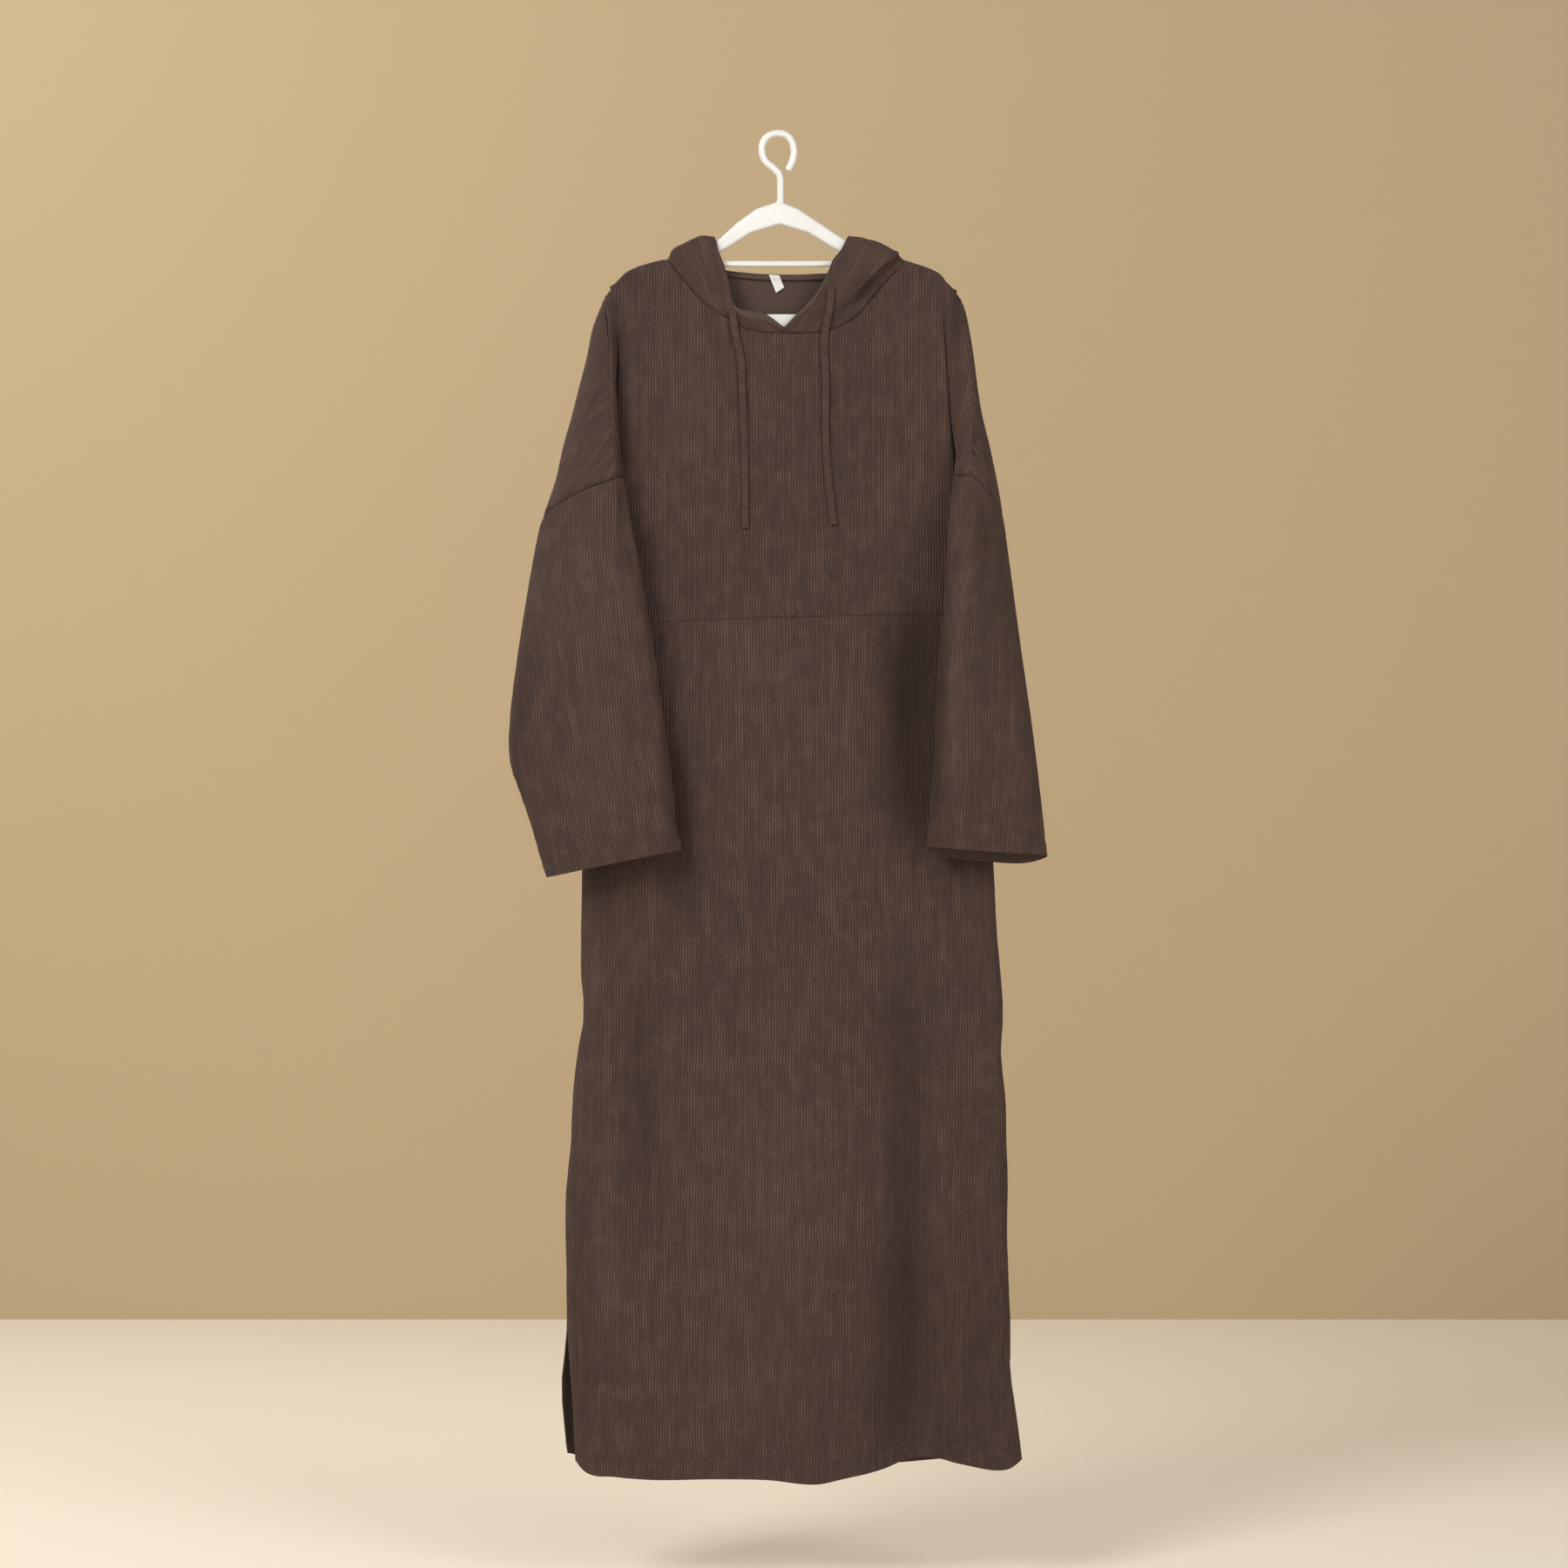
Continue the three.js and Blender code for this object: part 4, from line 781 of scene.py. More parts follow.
def sewAlong(name, lines):
    # one short capsule of thread a stitch, laid along each line of points with the cloth's normals there
    points, faces, count = [], [], 0
    for line, normals in lines:
        travelled = grainDistance(line, flatOnly=False)
        pitch = stitchLook["length"] + stitchLook["gap"]
        starts = np.arange(0.5, travelled[-1] - stitchLook["length"], pitch)
        for start in starts:
            for share, half, lift in stitchLook["stations"]:
                at = start + share * stitchLook["length"]
                centre = pointAt(at, travelled, line)
                normal = pointAt(at, travelled, normals)
                ahead = pointAt(at + 0.3, travelled, line)
                side = np.cross(ahead - centre, normal)
                side /= max(np.linalg.norm(side), 1e-9)
                centre = centre + normal * lift
                points += [centre + side * half, centre + normal * stitchLook["thick"],
                           centre - side * half, centre - normal * stitchLook["thick"]]
            for ring in range(3):
                low = count + 4 * ring
                faces += [[low + k, low + (k + 1) % 4, low + 4 + (k + 1) % 4, low + 4 + k] for k in range(4)]
            faces += [[count + 3, count + 2, count + 1, count], [count + 12 + k for k in range(4)]]
            count += 16
    sewn = meshObject(name, np.array(points) * mm, faces, [thread])
    turnOutward(sewn)
    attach(sewn, "root")
    return sewn


def gridNormals(grid, flip):
    return vertexNormals(grid.reshape(-1, 3), gridFaces(grid, 0, flip)).reshape(grid.shape)


def rowLine(grid, flip, row):
    # a row of the grid without the points that are clipped to its ends
    line, normals = grid[row], gridNormals(grid, flip)[row]
    apart = np.linalg.norm(np.diff(line, axis=0), axis=1) > 0.05
    keep = np.concatenate([[False], apart[1:] & apart[:-1], [False]])
    return line[keep], normals[keep]


def slitLines(panel, hemTable):
    lines = []
    for across in (0.017, 0.983):
        z = np.linspace(build["slitTop"] + 4, -1506, 60)
        line = bodyPoints(panel, across, z)
        beside = bodyPoints(panel, across + 0.004, z)
        normals = np.cross(beside - line, np.gradient(line, axis=0))
        normals /= np.linalg.norm(normals, axis=1, keepdims=True)
        normals *= np.sign(normals[:, 1:2]) * (-1 if panel == "front" else 1)
        keep = z > readTable(hemTable, "x", "z", line[:, 0]) + hem["height"]
        lines.append((line[keep], normals[keep]))
    return lines


def makeCloth(name, parts, materials, panel=None, thickness=None, ribbed=True):
    points, faces, places, sinks = [], [], [], []
    first = 0
    for part in parts:
        grid, reached, along, flip = part[:4]
        points.append(grid.reshape(-1, 3))
        faces.append(gridFaces(grid, first, flip))
        places.append(np.stack([reached.reshape(-1), along.reshape(-1)], axis=-1))
        sinks.append(part[4].reshape(-1) if len(part) > 4 else np.zeros(grid.shape[0] * grid.shape[1]))
        first += grid.shape[0] * grid.shape[1]
    points, faces, places = (np.vstack(rows) for rows in (points, faces, places))
    normals = sharedNormals(points, faces)
    sink = np.concatenate(sinks) + (ribs["depth"] * (1 - ribHeight(places[:, 0])) if ribbed else 0)
    # painted shade and highlight, with some brushed-pile variation, kept as a point attribute for the
    # material
    paintedLightAndNap = paintedLightAndNapAt(panel, points[:, 0], points[:, 2])
    points = points - normals * sink[:, None]
    cloth = meshObject(name, points * mm, faces, materials, places * mm)
    layer = cloth.data.attributes.new("paintedLightAndNap", "FLOAT", "POINT")
    layer.data.foreach_set("value", np.asarray(paintedLightAndNap, np.float32))
    chooseAlone(cloth)
    bpy.ops.object.mode_set(mode="EDIT")
    bpy.ops.mesh.select_all(action="SELECT")
    bpy.ops.mesh.remove_doubles(threshold=build["mergeWithin"])
    bpy.ops.mesh.select_all(action="DESELECT")
    bpy.ops.object.mode_set(mode="OBJECT")
    wall = cloth.modifiers.new("cloth thickness", "SOLIDIFY")
    wall.thickness = (thickness or build["cloth"]) * mm
    wall.offset = -1
    wall.use_rim = True
    wall.material_offset = 1 if len(materials) > 1 else 0
    bpy.ops.object.modifier_apply(modifier=wall.name)
    cloth.select_set(False)
    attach(cloth, "root")
    print(f"{name}: {countTriangles(cloth)} triangles")
    return cloth


def centredDistance(section, centre):
    distance = grainDistance(section)
    middle = len(section) // 2
    window = slice(middle // 3, len(section) - middle // 3)
    nearest = np.argmin(np.abs(section[window, 0] - centre)) + window.start
    return distance - distance[nearest]


def upperSections(panel, drops):
    front = panel == "front"
    arm = ["seam", "ridge", "fold", "inside"]
    if not front:
        arm = ["seam", "frontEdge", "edge", "backEdge", "back", "backInside"]
    sign = -1 if front else 1
    armpit = "armpit" if front else "backArmpit"
    tops = frontTop if front else backTop
    inner = list(zip(tops["x"], tops["z"], tops["onShoulder"], tops["across"]))[1:-1]
    firstSide, lastSide = ("left", "right") if front else ("right", "left")
    sections, armpitPlaces = [], []
    steps = 8
    for drop in drops:
        off = readTable(rowOff, "drop", "off", drop)
        stations = [shoulderPoint(firstSide, name, drop, off, sign) for name in arm]
        stations.append(shoulderPoint(firstSide, armpit, drop, off, sign))
        stations += [chestPoint(panel, top, drop, off) for top in inner]
        stations.append(shoulderPoint(lastSide, armpit, drop, off, sign))
        stations += [shoulderPoint(lastSide, name, drop, off, sign) for name in reversed(arm)]
        stations[0][0] += build["armSeamGap"] / 2
        stations[-1][0] -= build["armSeamGap"] / 2
        sections.append(smoothThrough(stations, steps))
        armpitPlaces.append((len(arm) * steps, (len(stations) - 1 - len(arm)) * steps))
    return sections, armpitPlaces


upperDrops = np.concatenate([[0, 0.004, 0.012, 0.025, 0.045, 0.07], np.linspace(0.1, 1, 26)])


def bodySection(panel, heightOf, samples=180):
    side = np.linspace(0, 0.08, 24)[:-1]
    across = np.concatenate([side, np.linspace(0.08, 0.92, samples), 1 - side[::-1]])
    section = bodyPoints(panel, across, heightOf(across))
    return section if panel == "front" else section[::-1]


def panelParts(panel, centre, lowerHeights, spacing):
    sections, armpits = upperSections(panel, upperDrops)
    distances = [centredDistance(section, centre) for section in sections]
    lastArmpit = [distances[-1][k] for k in armpits[-1]]
    upper, reachedUpper = cutAlongGrain(sections, distances, spacing, {len(sections) - 1: lastArmpit})
    first, last = armpits[-1]
    lowerSections = [sections[-1][first:last + 1]]
    lowerSections += [bodySection(panel, heightOf) for heightOf in lowerHeights]
    lowerDistances = [distances[-1][first:last + 1]]
    lowerDistances += [centredDistance(section, centre) for section in lowerSections[1:]]
    lower, reachedLower = cutAlongGrain(lowerSections, lowerDistances, spacing)
    sinkUpper = np.zeros(upper.shape[:2])
    for row, distance in enumerate(distances):
        firstArm, lastArm = armpits[row]
        for column, at in enumerate(reachedUpper[row]):
            if at < distance[firstArm] or at > distance[lastArm]:
                atEnd = min(abs(at - distance[0]), abs(at - distance[-1]))
                sinkUpper[row, column] = seamShare["shoulder"] * seamSink(np.array(atEnd))
    fromLow = np.linalg.norm(upper - upper[-1:], axis=-1)
    onArm = (reachedUpper[-1] < lastArmpit[0] + 0.4) | (reachedUpper[-1] > lastArmpit[1] - 0.4)
    sinkUpper += np.where(onArm[None, :], seamShare["arm"] * seamSink(fromLow), 0)
    return [
        (upper, reachedUpper, -upper[:, :, 2], False, sinkUpper),
        (lower, reachedLower, -lower[:, :, 2], False),
    ]


def makeFrontBodice():
    drops = [0.12, 0.3, 0.5, 0.7, 0.86, 0.94, 0.965, 0.98, 0.99, 0.996, 1]
    heights = [lambda across, t=t: mix(build["armpitHeight"], waistHeight(across) + 0.1, t) for t in drops]
    parts = panelParts("front", build["frontCentre"], heights, ribs["pitch"] / ribs["perRib"])
    return makeCloth("front_bodice_cloth", parts, [corduroy, clothBack], "front")


hemSteps = [0, 0.8, 2.5, 7, 12, 15.5, 17, 18, 19, 20.5, 24, 32]  # millimetres above the hem
waistSteps = [0, 0.8, 1.8, 3.2, 5.5, 10, 18]
sleeveTopSteps = [0, 0.8, 2, 4, 8, 14]
sleeveHemSteps = hemSteps[:-1]


def hemLine(grid, steps, flip=False):
    return rowLine(grid, flip, len(grid) - 1 - steps.index(hem["height"]))


def makeFrontSkirt():
    shares = np.linspace(0, 1, 50)
    sections = []
    for kind, value in ([("waist", step) for step in waistSteps] + [("share", t) for t in shares[1:-1]]
                        + [("hem", step) for step in hemSteps[::-1]]):
        def heightOf(across, kind=kind, value=value):
            hemX = bodyPoints("front", across, -1530.0, False)[:, 0]
            top, low = waistHeight(across) - 0.1, readTable(frontHem, "x", "z", hemX)
            if kind == "waist":
                return top - value
            return low + value if kind == "hem" else mix(top - waistSteps[-1], low + hemSteps[-1], value)
        sections.append(bodySection("front", heightOf))
    distances = [centredDistance(section, build["frontCentre"]) for section in sections]
    grid, reached = cutAlongGrain(sections, distances, ribs["pitch"] / ribs["perRib"])
    stitches = sewAlong("front_skirt_stitches", [hemLine(grid, hemSteps), *slitLines("front", frontHem)])
    parts = [(grid, reached, -grid[:, :, 2], False)]
    return makeCloth("front_skirt_cloth", parts, [corduroy, clothBack], "front"), stitches


def makeBackPanel():
    heights = []
    shares = (np.arange(1, 39) / 39) ** 1.05
    for kind, value in [("share", t) for t in shares] + [("hem", step) for step in hemSteps[::-1]]:
        def heightOf(across, kind=kind, value=value):
            hemX = bodyPoints("back", across, -1520.0, False)[:, 0]
            low = readTable(backHem, "x", "z", hemX)
            if kind == "hem":
                return low + value
            return mix(build["armpitHeight"], low + hemSteps[-1], value)
        heights.append(heightOf)
    parts = panelParts("back", 0, heights, ribs["pitch"] / ribs["perRibBack"])
    stitches = sewAlong("back_panel_stitches", [hemLine(parts[1][0], hemSteps), *slitLines("back", backHem)])
    return makeCloth("back_panel_cloth", parts, [corduroy, clothBack], "back"), stitches


# sleeves
sleeveRing = table("along depth", [
    (0.1, 0.55), (0.02, 0.25), (0, -0.15), (0.05, -0.7), (0.17, -0.92), (0.6, -1), (1, -0.05),
    (0.82, 0.85), (0.5, 1), (0.25, 0.9),
])
sleeveNames = [
    "armpit", "inside", "fold", "ridge", "seam", "frontEdge", "edge", "backEdge", "back", "backInside",
]
cuffs = {
    "left": {"inner": -818, "outer": -849, "backDrop": 4, "middle": -54, "halfDepth": 19, "fuller": 0},
    "right": {"inner": -814, "outer": -825, "backDrop": -12, "middle": -57, "halfDepth": 22, "fuller": 14},
}


# creases of the sleeves: place across, from and to down the sleeve, width and depth
sleeveCreases = {
    "left": [(0.32, 0.3, 1.05, 0.12, 3.0), (0.62, 0.1, 0.8, 0.14, 2.6), (0.85, 0.4, 0.95, 0.1, 2.8)],
    "right": [(0.22, 0.05, 0.75, 0.12, -3.2), (0.5, 0.15, 0.9, 0.14, 3.0), (0.8, 0.4, 1.05, 0.12, 2.4)],
}


def sleevePoint(side, name, along, depth, share):
    arm, cuff = armSides[side], cuffs[side]
    seamHeight = sleeveSeamHeight(side, name) - build["sleeveGap"]
    cuffHeight = mix(cuff["inner"], cuff["outer"], along) + cuff["backDrop"] * max(0, depth)
    z = mix(seamHeight, cuffHeight, share)
    start = armPoint(side, name, seamHeight)
    armpitStep = arm["sign"] * 4 if name == "armpit" else 0
    fall = seamHeight - z
    forward = ease(0, mix(62, 300, ease(0.4, 0.9, along)), fall)
    inward = ease(35, 150, fall)
    follow = 1 if name in ("fold", "edge") else inward
    inner = readTable(arm["table"], "z", "fold", z)
    outer = readTable(arm["table"], "z", "edge", z)
    x = mix(start[0] + armpitStep, mix(inner, outer, along), follow)
    fuller = cuff["fuller"] * math.sin(math.pi * share)
    halfDepth = mix(26, cuff["halfDepth"], share) + fuller
    y = mix(start[1], cuff["middle"] - fuller + halfDepth * depth, forward)
    for place, top, bottom, width, sink in sleeveCreases[side]:
        nearAlong = math.exp(-(((along - place) / width) ** 2))
        fade = ease(top, mix(top, bottom, 0.3), share) * (1 - ease(mix(top, bottom, 0.7), bottom, share))
        y -= sink * nearAlong * fade * depth
    return np.array([x, y, z])


def makeSleeve(side):
    ends = np.concatenate([np.array(sleeveTopSteps), build["sleeveLength"] - np.array(sleeveHemSteps)])
    shares = np.sort(np.concatenate([ends / build["sleeveLength"], np.linspace(0.045, 0.93, 26)]))
    sections, distances = [], []
    steps = 10
    for share in shares:
        stations = [sleevePoint(side, name, along, depth, share)
                    for name, along, depth in zip(sleeveNames, sleeveRing["along"], sleeveRing["depth"])]
        section = smoothThrough(stations, steps, closed=True)
        distance = grainDistance(section)
        sections.append(section)
        distances.append(distance - distance[4 * steps])
    grid, reached = cutAlongGrain(sections, distances, ribs["pitch"] / ribs["perRib"])
    fromSeam, fromCuff = (np.linalg.norm(grid - grid[row], axis=-1) for row in (0, -1))
    sink = seamShare["arm"] * seamSink(fromSeam) - hemRaise(fromCuff)
    part = (grid, reached, -grid[:, :, 2], side == "left", sink)
    stitches = sewAlong(f"sleeve_{side}_stitches", [hemLine(grid, sleeveHemSteps, side == "left")])
    return makeCloth(f"sleeve_{side}_cloth", [part], [corduroy, clothBack], f"sleeve_{side}"), stitches


def sayCut(cloth, stitches, node, flat, area, restsOn):
    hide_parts(node)


# each sheet's cut: width and length that it fits in, in metres, and its own area
sleeveCuts = {"left": ((0.34, 0.44), 0.14), "right": ((0.30, 0.43), 0.116)}
print("making the body panels")
bodice, skirt, back = makeFrontBodice(), makeFrontSkirt(), makeBackPanel()
sayCut(bodice, None, "front_bodice", (0.46, 0.42), 0.165, ["hanger_moulded"])
sayCut(*skirt, "front_skirt", (0.545, 0.993), 0.489, ["front_bodice_cloth"])
sayCut(*back, "back_panel", (0.66, 1.39), 0.705, ["hanger_moulded"])
print("making the sleeves")
for side in ("left", "right"):
    sayCut(*makeSleeve(side), f"sleeve_{side}", *sleeveCuts[side], ["front_bodice_cloth", "back_panel_cloth"])

# hood halves: key points from the neck seam to the opening edge, from the front to the back seam
hoodKeys = {
    "left": [
        ((3.9, -12.6, -226), (3.9, -13, -224.6), (3.9, -13.5, -223.3),
         (3.9, -14, -222), (3.9, -14.5, -220.5)),
        ((-20, -13.8, -225), (-20, -15, -219.8), (-20, -16, -214.5),
         (-20, -16.6, -209), (-20, -17, -203.8)),
        ((-44, -13.8, -219.3), (-43, -15, -214.5), (-42, -16, -210),
         (-41, -16.8, -205.5), (-40, -17, -201)),
        ((-64, -13.4, -206.8), (-61, -14.6, -204), (-58.5, -15.6, -201),
         (-56, -16.4, -198), (-53, -17, -195)),
        ((-88, -13, -191.2), (-81, -14.8, -185), (-74, -16, -179.5),
         (-67, -16.8, -174), (-60, -17, -168)),
        ((-111, -11.4, -165), (-101, -13.6, -161), (-90, -15, -157.5),
         (-77, -15.6, -154.5), (-64, -15.5, -151)),
        ((-125.6, -10, -147), (-116, -11.4, -140.5), (-103, -12.8, -136),
         (-88, -13, -132), (-71, -12.6, -132)),
        ((-129.4, -1.5, -138.2), (-122, -5.2, -128.5), (-108, -6.6, -122),
         (-92, -6.8, -115.5), (-75.5, -7, -116)),
        ((-122.5, 9.8, -142), (-128, 11, -141), (-123, 15.5, -136),
         (-104, 17, -122), (-80, 13, -115.5)),
        ((-100, 14.6, -149.5), (-119, 20, -166), (-124, 30, -190),
         (-108, 35, -150), (-84, 27, -121)),
        ((-68, 18, -154.5), (-98, 25, -228), (-106, 36, -300),
         (-90, 47, -228), (-62, 42, -160)),
        ((-34, 18.5, -158.5), (-56, 27, -270), (-66, 39, -388),
         (-52, 53, -280), (-32, 51, -174)),
        ((-0.2, 18.5, -160), (-0.2, 28, -292), (-0.2, 40, -432),
         (-0.2, 57, -302), (-0.2, 53, -178)),
    ],
    "right": [
        ((4.3, -12.6, -226), (4.3, -13.2, -224.6), (4.3, -13.8, -223.3),
         (4.3, -14.4, -222), (4.3, -15, -220.5)),
        ((26, -13.8, -226), (25, -15, -220.5), (23, -16.4, -215),
         (21, -17.4, -210), (19, -18, -205)),
        ((48, -13.8, -223.8), (46, -15.4, -215), (43, -17.2, -206),
         (40, -18.6, -197), (36, -19.4, -188)),
        ((69.5, -13.6, -216.8), (65, -15.8, -205), (62, -18.8, -196),
         (57, -20.6, -182), (49, -20.5, -168)),
        ((85.4, -13.4, -207.8), (78, -15, -193), (80, -24, -188),
         (70, -25.2, -170), (56, -21.5, -153.5)),
        ((104.4, -12.6, -186.2), (95, -14.5, -170), (100.5, -26, -168),
         (84, -26.5, -151), (60, -20, -143)),
        ((122.2, -11.2, -164), (112, -12.6, -148.5), (119.5, -24, -149),
         (100, -23.6, -134), (69, -14, -131.5)),
        ((137.4, -10, -147.5), (124, -10.5, -137), (129.5, -19, -141.5),
         (108, -18.5, -127), (74, -11, -122)),
        ((140.4, -1.5, -139.6), (130, -6, -132), (135, -13.5, -136),
         (112, -12.5, -122.5), (77.6, -7, -114.8)),
        ((131, 9.5, -144), (139, 11, -143), (133, 15.5, -137),
         (108, 17, -122), (81, 13, -115.5)),
        ((109, 14.6, -150.5), (125, 20, -168), (128, 30, -192),
         (111, 35, -151), (85, 27, -121)),
        ((72, 18, -156.5), (99, 25, -230), (108, 36, -302),
         (92, 47, -230), (63, 42, -160)),
        ((36, 18.5, -159.5), (57, 27, -271), (67, 39, -389),
         (53, 53, -281), (33, 51, -174)),
        ((0.2, 18.5, -160), (0.2, 28, -292), (0.2, 40, -432),
         (0.2, 57, -302), (0.2, 53, -178)),
    ],
}
hoodLook = {
    "cut": {"left": ((0.32, 0.52), 0.06), "right": ((0.32, 0.52), 0.066)},  # metres and square metres
    "casing": 24, "casingWall": 0.9, "facingWall": 0.8, "facingWidth": 9, "stitch": 22.5, "tunnel": 0.9,
    "tunnelFrom": 12, "narrow": 34,  # where the half is narrower than this it has no tunnel
    # the allowance rolls in step by step: forward and in at the front, in and up at the back
    "allowance": [(1.5, 2, 1.6, 1.3), (1.2, 0.7, 2.6, 0.1), (1.2, 0.7, 1.4, -1.0), (1.1, 0.6, 0.6, -4.2)],
    "casingSteps": (0, 0.5, 1.4, 3, 6, 10, 14, 18, 21, 23, 24),
}
facing = {
    "left": {"width": ((0, 3.2), (12, 6), (30, 9), (46, 9), (58, 5), (68, 0.6)), "proud": 0.7},
    "right": {"width": ((0, 2.4), (14, 3.4), (30, 4.6), (50, 5), (66, 3.6), (88, 0.6)), "proud": 0.6},
}


def hoodCreases(side, points):
    x, y, z = points[..., 0], points[..., 1], points[..., 2]
    sink = np.zeros(x.shape)
    for start, end, width, depth, rear in hoodFolds[side]:
        nearSide = (y > 20) if rear else (y < 6)
        sink = sink + depth * creaseDip(x, z, start, end, width, 0.3) * nearSide
    return sink


# folds of the hood: start, end, width, depth and whether it lies on the hanging back
hoodFolds = {
    "left": [
        ((-104, -150), (-66, -196), 7, 1.6, False), ((-92, -130), (-72, -160), 6, -1.2, False),
        ((-60, -210), (-30, -330), 14, 3.0, True), ((-24, -200), (-14, -380), 16, 2.6, True),
    ],
    "right": [
        ((118, -140), (72, -190), 7, 1.8, False), ((96, -126), (76, -160), 6, -1.4, False),
        ((104, -152), (84, -186), 5, 1.4, False),
        ((60, -210), (34, -330), 14, 3.0, True), ((22, -200), (16, -380), 16, -2.4, True),
    ],
}


def rolledAllowance(section):
    edge = section[-1]
    onward = edge - section[-5]
    onward /= max(np.linalg.norm(onward), 1e-6)
    inward = -np.sign(edge[1]) * min(1, abs(edge[1]) / 8)
    atBack = ease(8, 14.5, edge[1])
    atCorner = 1 + 1.4 * math.exp(-(((edge[1] - 5) / 7) ** 2))
    rolled = [edge]
    for forward, frontIn, backIn, backUp in hoodLook["allowance"]:
        under = onward * forward * atCorner + np.array([0, inward * frontIn, 0])
        rolled.append(rolled[-1] + mix(under, np.array([0, -backIn, backUp]), atBack))
    return smoothThrough(rolled, 3)


def offCloth(at, reached, line, normals, away):
    return pointAt(at, reached, line) + pointAt(at, reached, normals) * away[:, None]


# the casing is the edge turned in: a band along the inside of the opening
def makeCasing(side, grid, reached, normals, sink, ends, alongEdge):
    across = np.array(hoodLook["casingSteps"])
    band = []
    for row, end in enumerate(ends[:, 0]):
        width = max(min(end - 1.5, hoodLook["casing"]), 0.5)
        at = np.clip(across / across[-1] * width, 0, end)
        ribbed = np.interp(at, reached[row], sink[row]) + ribs["depth"]
        inward = (build["cloth"] + 0.35 + ribbed) * ease(-0.6, 1.2, at)
        band.append(offCloth(at, reached[row], grid[row], normals[row], -inward))
    shape = (len(band), len(across))
    part = (np.array(band), across * np.ones(shape), alongEdge * np.ones(shape), side == "left")
    return makeCloth(f"hood_{side}_casing", [part], [casingCloth],
                     thickness=hoodLook["casingWall"], ribbed=False)


# at the front the casing rolls outwards, so its bare face shows along the opening
def makeFacing(side, grid, reached, normals, ends, alongEdge):
    places, widths = zip(*facing[side]["width"])
    across = np.linspace(0, 1, 13)
    lift = facing[side]["proud"] * np.sin(np.pi * np.clip(0.12 + 0.8 * across, 0, 1)) ** 0.6
    roll = []
    for row in range(int(np.argmax(alongEdge[:, 0] > places[-1]))):
        at = across * min(np.interp(alongEdge[row, 0], places, widths), 0.7 * ends[row, 0])
        roll.append(offCloth(at, reached[row], grid[row], normals[row], lift))
        roll[-1][0] -= normals[row, 0] * 0.9
    shape = (len(roll), len(across))
    acrossRoll = across * hoodLook["facingWidth"] * np.ones(shape)
    part = (np.array(roll), acrossRoll, alongEdge[:len(roll)] * np.ones(shape), side == "right")
    return makeCloth(f"hood_{side}_facing", [part], [casingCloth],
                     thickness=hoodLook["facingWall"], ribbed=False)


def makeHoodHalf(side):
    keys = np.array(hoodKeys[side], float)
    lines = [smoothThrough(keys[:, k], 6) for k in range(5)]
    sections = [smoothThrough([line[row] for line in reversed(lines)], 24) for row in range(len(lines[0]))]
    distances = [grainDistance(section, flatOnly=False) for section in sections]
    grid, reached = cutAlongGrain(sections, distances, ribs["pitch"] / ribs["perRibHood"])
    ends = np.array([distance[-1] for distance in distances])[:, None]
    alongEdge = grainDistance(lines[4], flatOnly=False)[:, None]
    stitchDip = 0.55 * np.exp(-(((reached - hoodLook["stitch"]) / 1.6) ** 2))
    tunnel = hoodLook["tunnel"] * np.exp(-(((reached - hoodLook["tunnelFrom"]) / 7.0) ** 2))
    sink = seamShare["hood"] * seamSink(ends - reached) + hoodCreases(side, grid)
    sink += (stitchDip - tunnel) * (ends > hoodLook["narrow"])
    allowance = np.array([rolledAllowance(section) for section in sections])
    beyond = np.array([grainDistance(row, flatOnly=False) for row in allowance])
    seamEnd = seamShare["hood"] * seamSink(beyond) * (beyond < 3)
    parts = [(grid, reached, alongEdge * np.ones(reached.shape), side == "right", sink),
             (allowance, ends + beyond, alongEdge * np.ones(beyond.shape), side == "right", seamEnd)]
    hood = makeCloth(f"hood_{side}_cloth", parts, [corduroy, clothBack], f"hood_{side}")
    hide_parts(f"hood_{side}")
    normals = gridNormals(grid, side == "right")
    casing = makeCasing(side, grid, reached, normals, sink, ends, alongEdge)
    turned = makeFacing(side, grid, reached, normals, ends, alongEdge)


print("making the hood")
for side in ("left", "right"):
    makeHoodHalf(side)

# neck label: a small bare satin tag folded over at the back neck seam
labelLook = {
    "thickness": 0.35, "curl": 1.5, "overSeam": 4.0, "steps": 15,
    "corners": ((-13.4, -157.6), (-1.4, -158.4), (4.4, -171.8), (-5.2, -178.2)),
}


def makeLabel():
    topLeft, topRight, lowRight, lowLeft = (np.array(corner) for corner in labelLook["corners"])
    steps = labelLook["steps"]
    grid = np.zeros((steps, steps, 3))
    for row, v in enumerate(np.linspace(0, 1, steps)):
        for column, u in enumerate(np.linspace(0, 1, steps)):
            x, z = mix(mix(topLeft, topRight, u), mix(lowLeft, lowRight, u), v)
            depth = chestPoint("back", (x, z, 0, 0.5), 0, 1)[1] - build["cloth"] - 1.2
            curl = labelLook["curl"] * (v ** 2 + 0.35 * math.sin(math.pi * u) * v)
            grid[row, column] = (x, depth - curl - labelLook["overSeam"] * (1 - v), z)
    across, down = np.meshgrid(np.linspace(0, 12, steps), np.linspace(0, 15, steps))
    label = makeCloth("neck_label_tag", [(grid, across, down, False)], [labelCloth],
                      thickness=labelLook["thickness"], ribbed=False)
    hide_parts("neck_label")


makeLabel()
print("label made")

# hanger: the frame's own solid, with its edges rounded as a mould leaves them
hangerLook = {"voxel": 0.0013, "smoothing": 9, "merge": 0.00002}


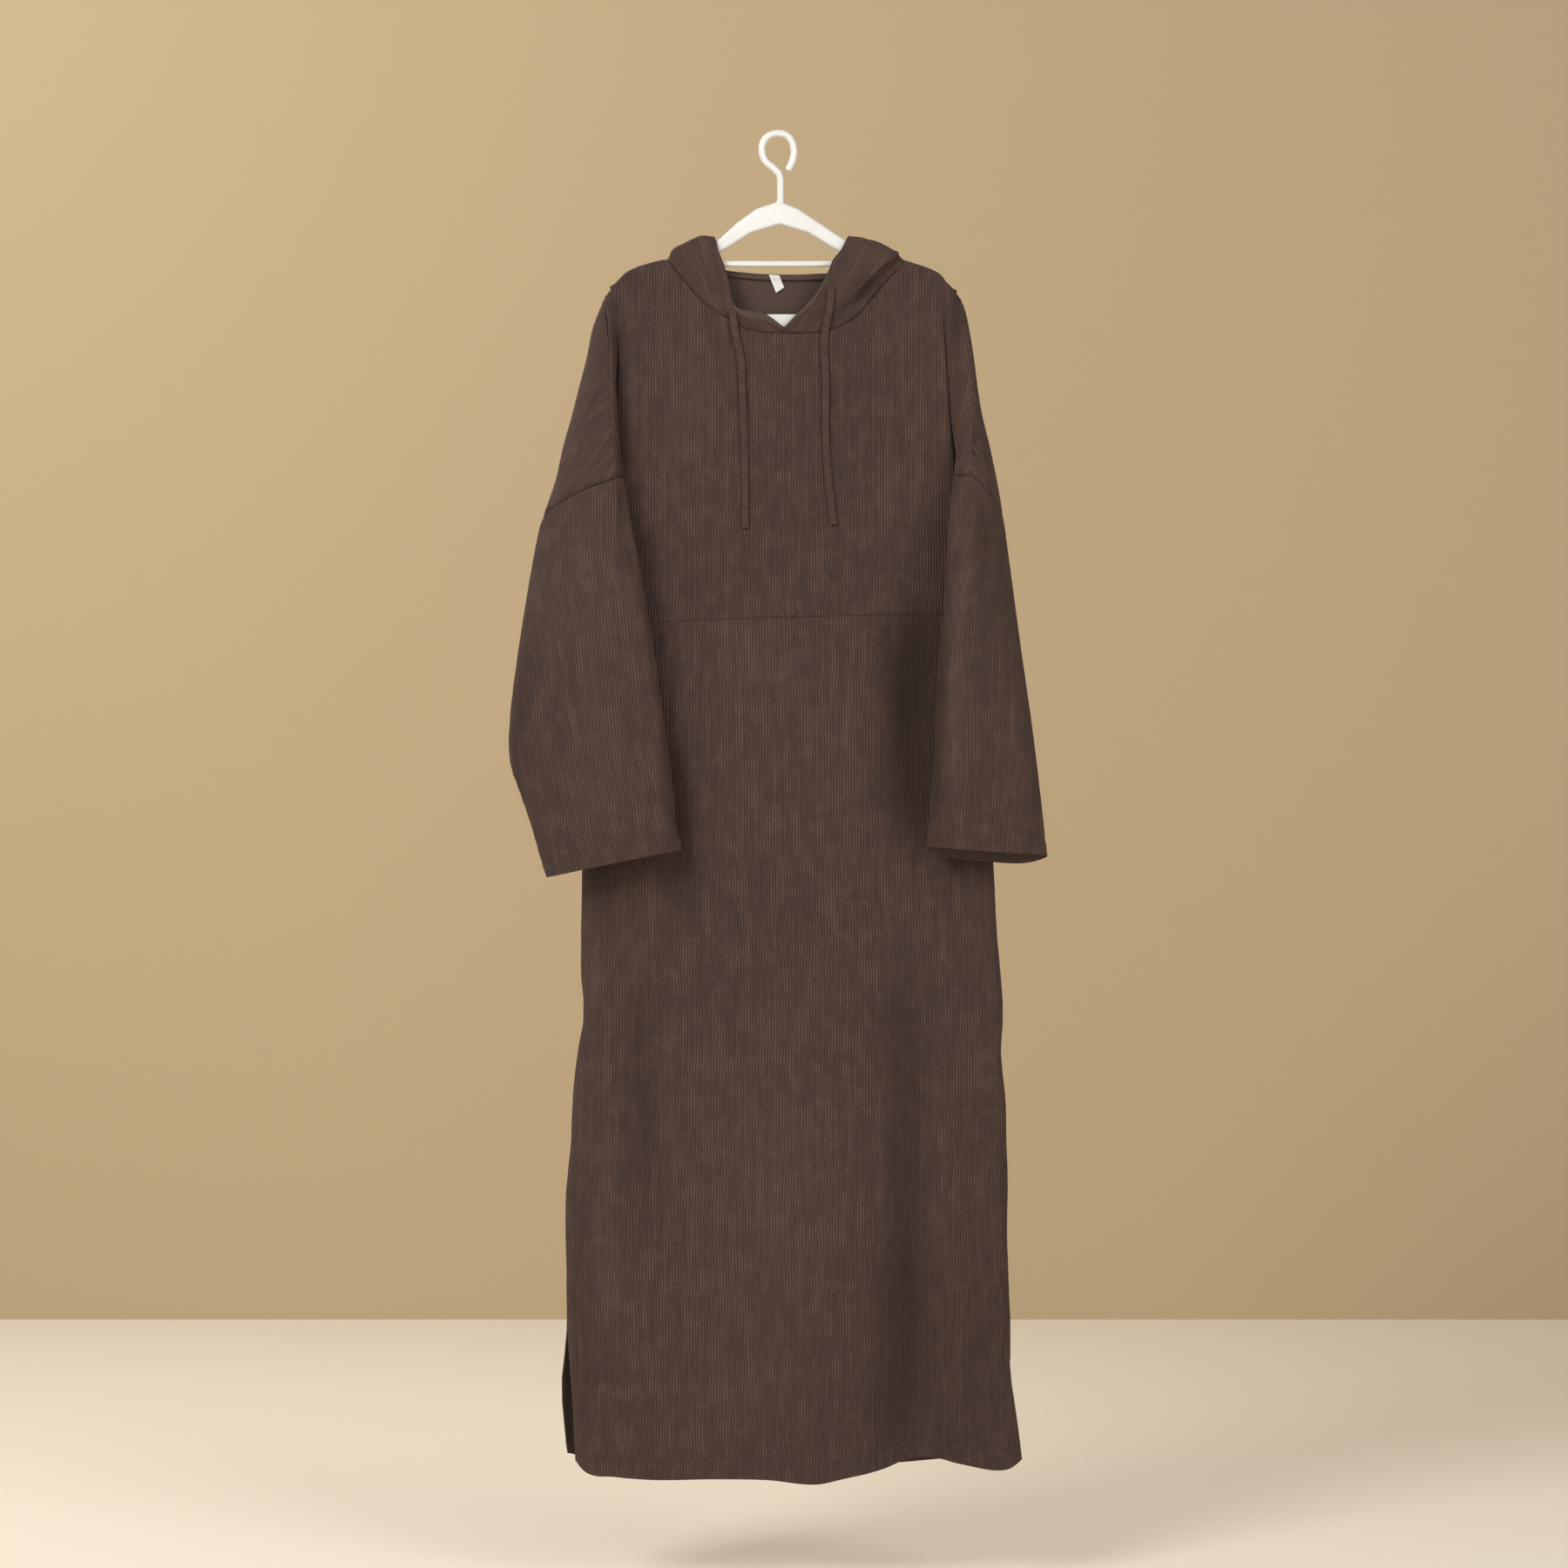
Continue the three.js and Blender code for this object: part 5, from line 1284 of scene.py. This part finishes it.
def makeHanger():
    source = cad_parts["hanger"]
    source = bpy.data.objects[source] if isinstance(source, str) else source
    hanger = bpy.data.objects.new("hanger_moulded", source.data.copy())
    bpy.context.collection.objects.link(hanger)
    turnOutward(hanger, hangerLook["merge"])
    chooseAlone(hanger)
    remesh = hanger.modifiers.new("rounded", "REMESH")
    remesh.mode = "VOXEL"
    remesh.voxel_size = hangerLook["voxel"]
    bpy.ops.object.modifier_apply(modifier=remesh.name)
    smooth = hanger.modifiers.new("smoothed", "SMOOTH")
    smooth.factor = 0.5
    smooth.iterations = hangerLook["smoothing"]
    bpy.ops.object.modifier_apply(modifier=smooth.name)
    bpy.ops.object.shade_smooth()
    hanger.data.materials.clear()
    hanger.data.materials.append(plastic)
    hanger.select_set(False)
    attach(hanger, "root")
    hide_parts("hanger")
    print(f"hanger: {countTriangles(hanger)} triangles")


makeHanger()

# stage: a floor and a wall that are clear from behind or below, so that they hide nothing there

def makePaint(name, colour, roughness):
    material, shader, start = startMaterial(name, {"Roughness": roughness, "Base Color": (*colour, 1)})
    behind = start.node("ShaderNodeNewGeometry", None, None, 6)
    clear = start.node("ShaderNodeBsdfTransparent")
    painted = Wire(start.tree, shader.outputs[0])
    blend = start.node("ShaderNodeMixShader", None, {0: behind, 1: painted, 2: clear})
    start.tree.links.new(blend.socket, start.tree.nodes["Material Output"].inputs["Surface"])
    return material


def makeStagePlane(name, corners, paint):
    bpy.ops.mesh.primitive_plane_add(size=1, location=(0, 0, 0))
    plane = bpy.context.object
    plane.name = name
    for vertex, corner in zip(plane.data.vertices, corners):
        vertex.co = corner
    plane.data.materials.append(paint)


floor, wall, left, right = room["floor"], room["wall"], -room["halfWidth"], room["halfWidth"]
makeStagePlane("floor", [(x, y, floor) for y in (room["front"], wall) for x in (left, right)],
               makePaint("pale_floor", room["floorColour"], 0.75))
makeStagePlane("backdrop", [(x, wall, z) for z in (floor, room["top"]) for x in (left, right)],
               makePaint("pale_wall", room["wallColour"], 0.85))
print("stage made")
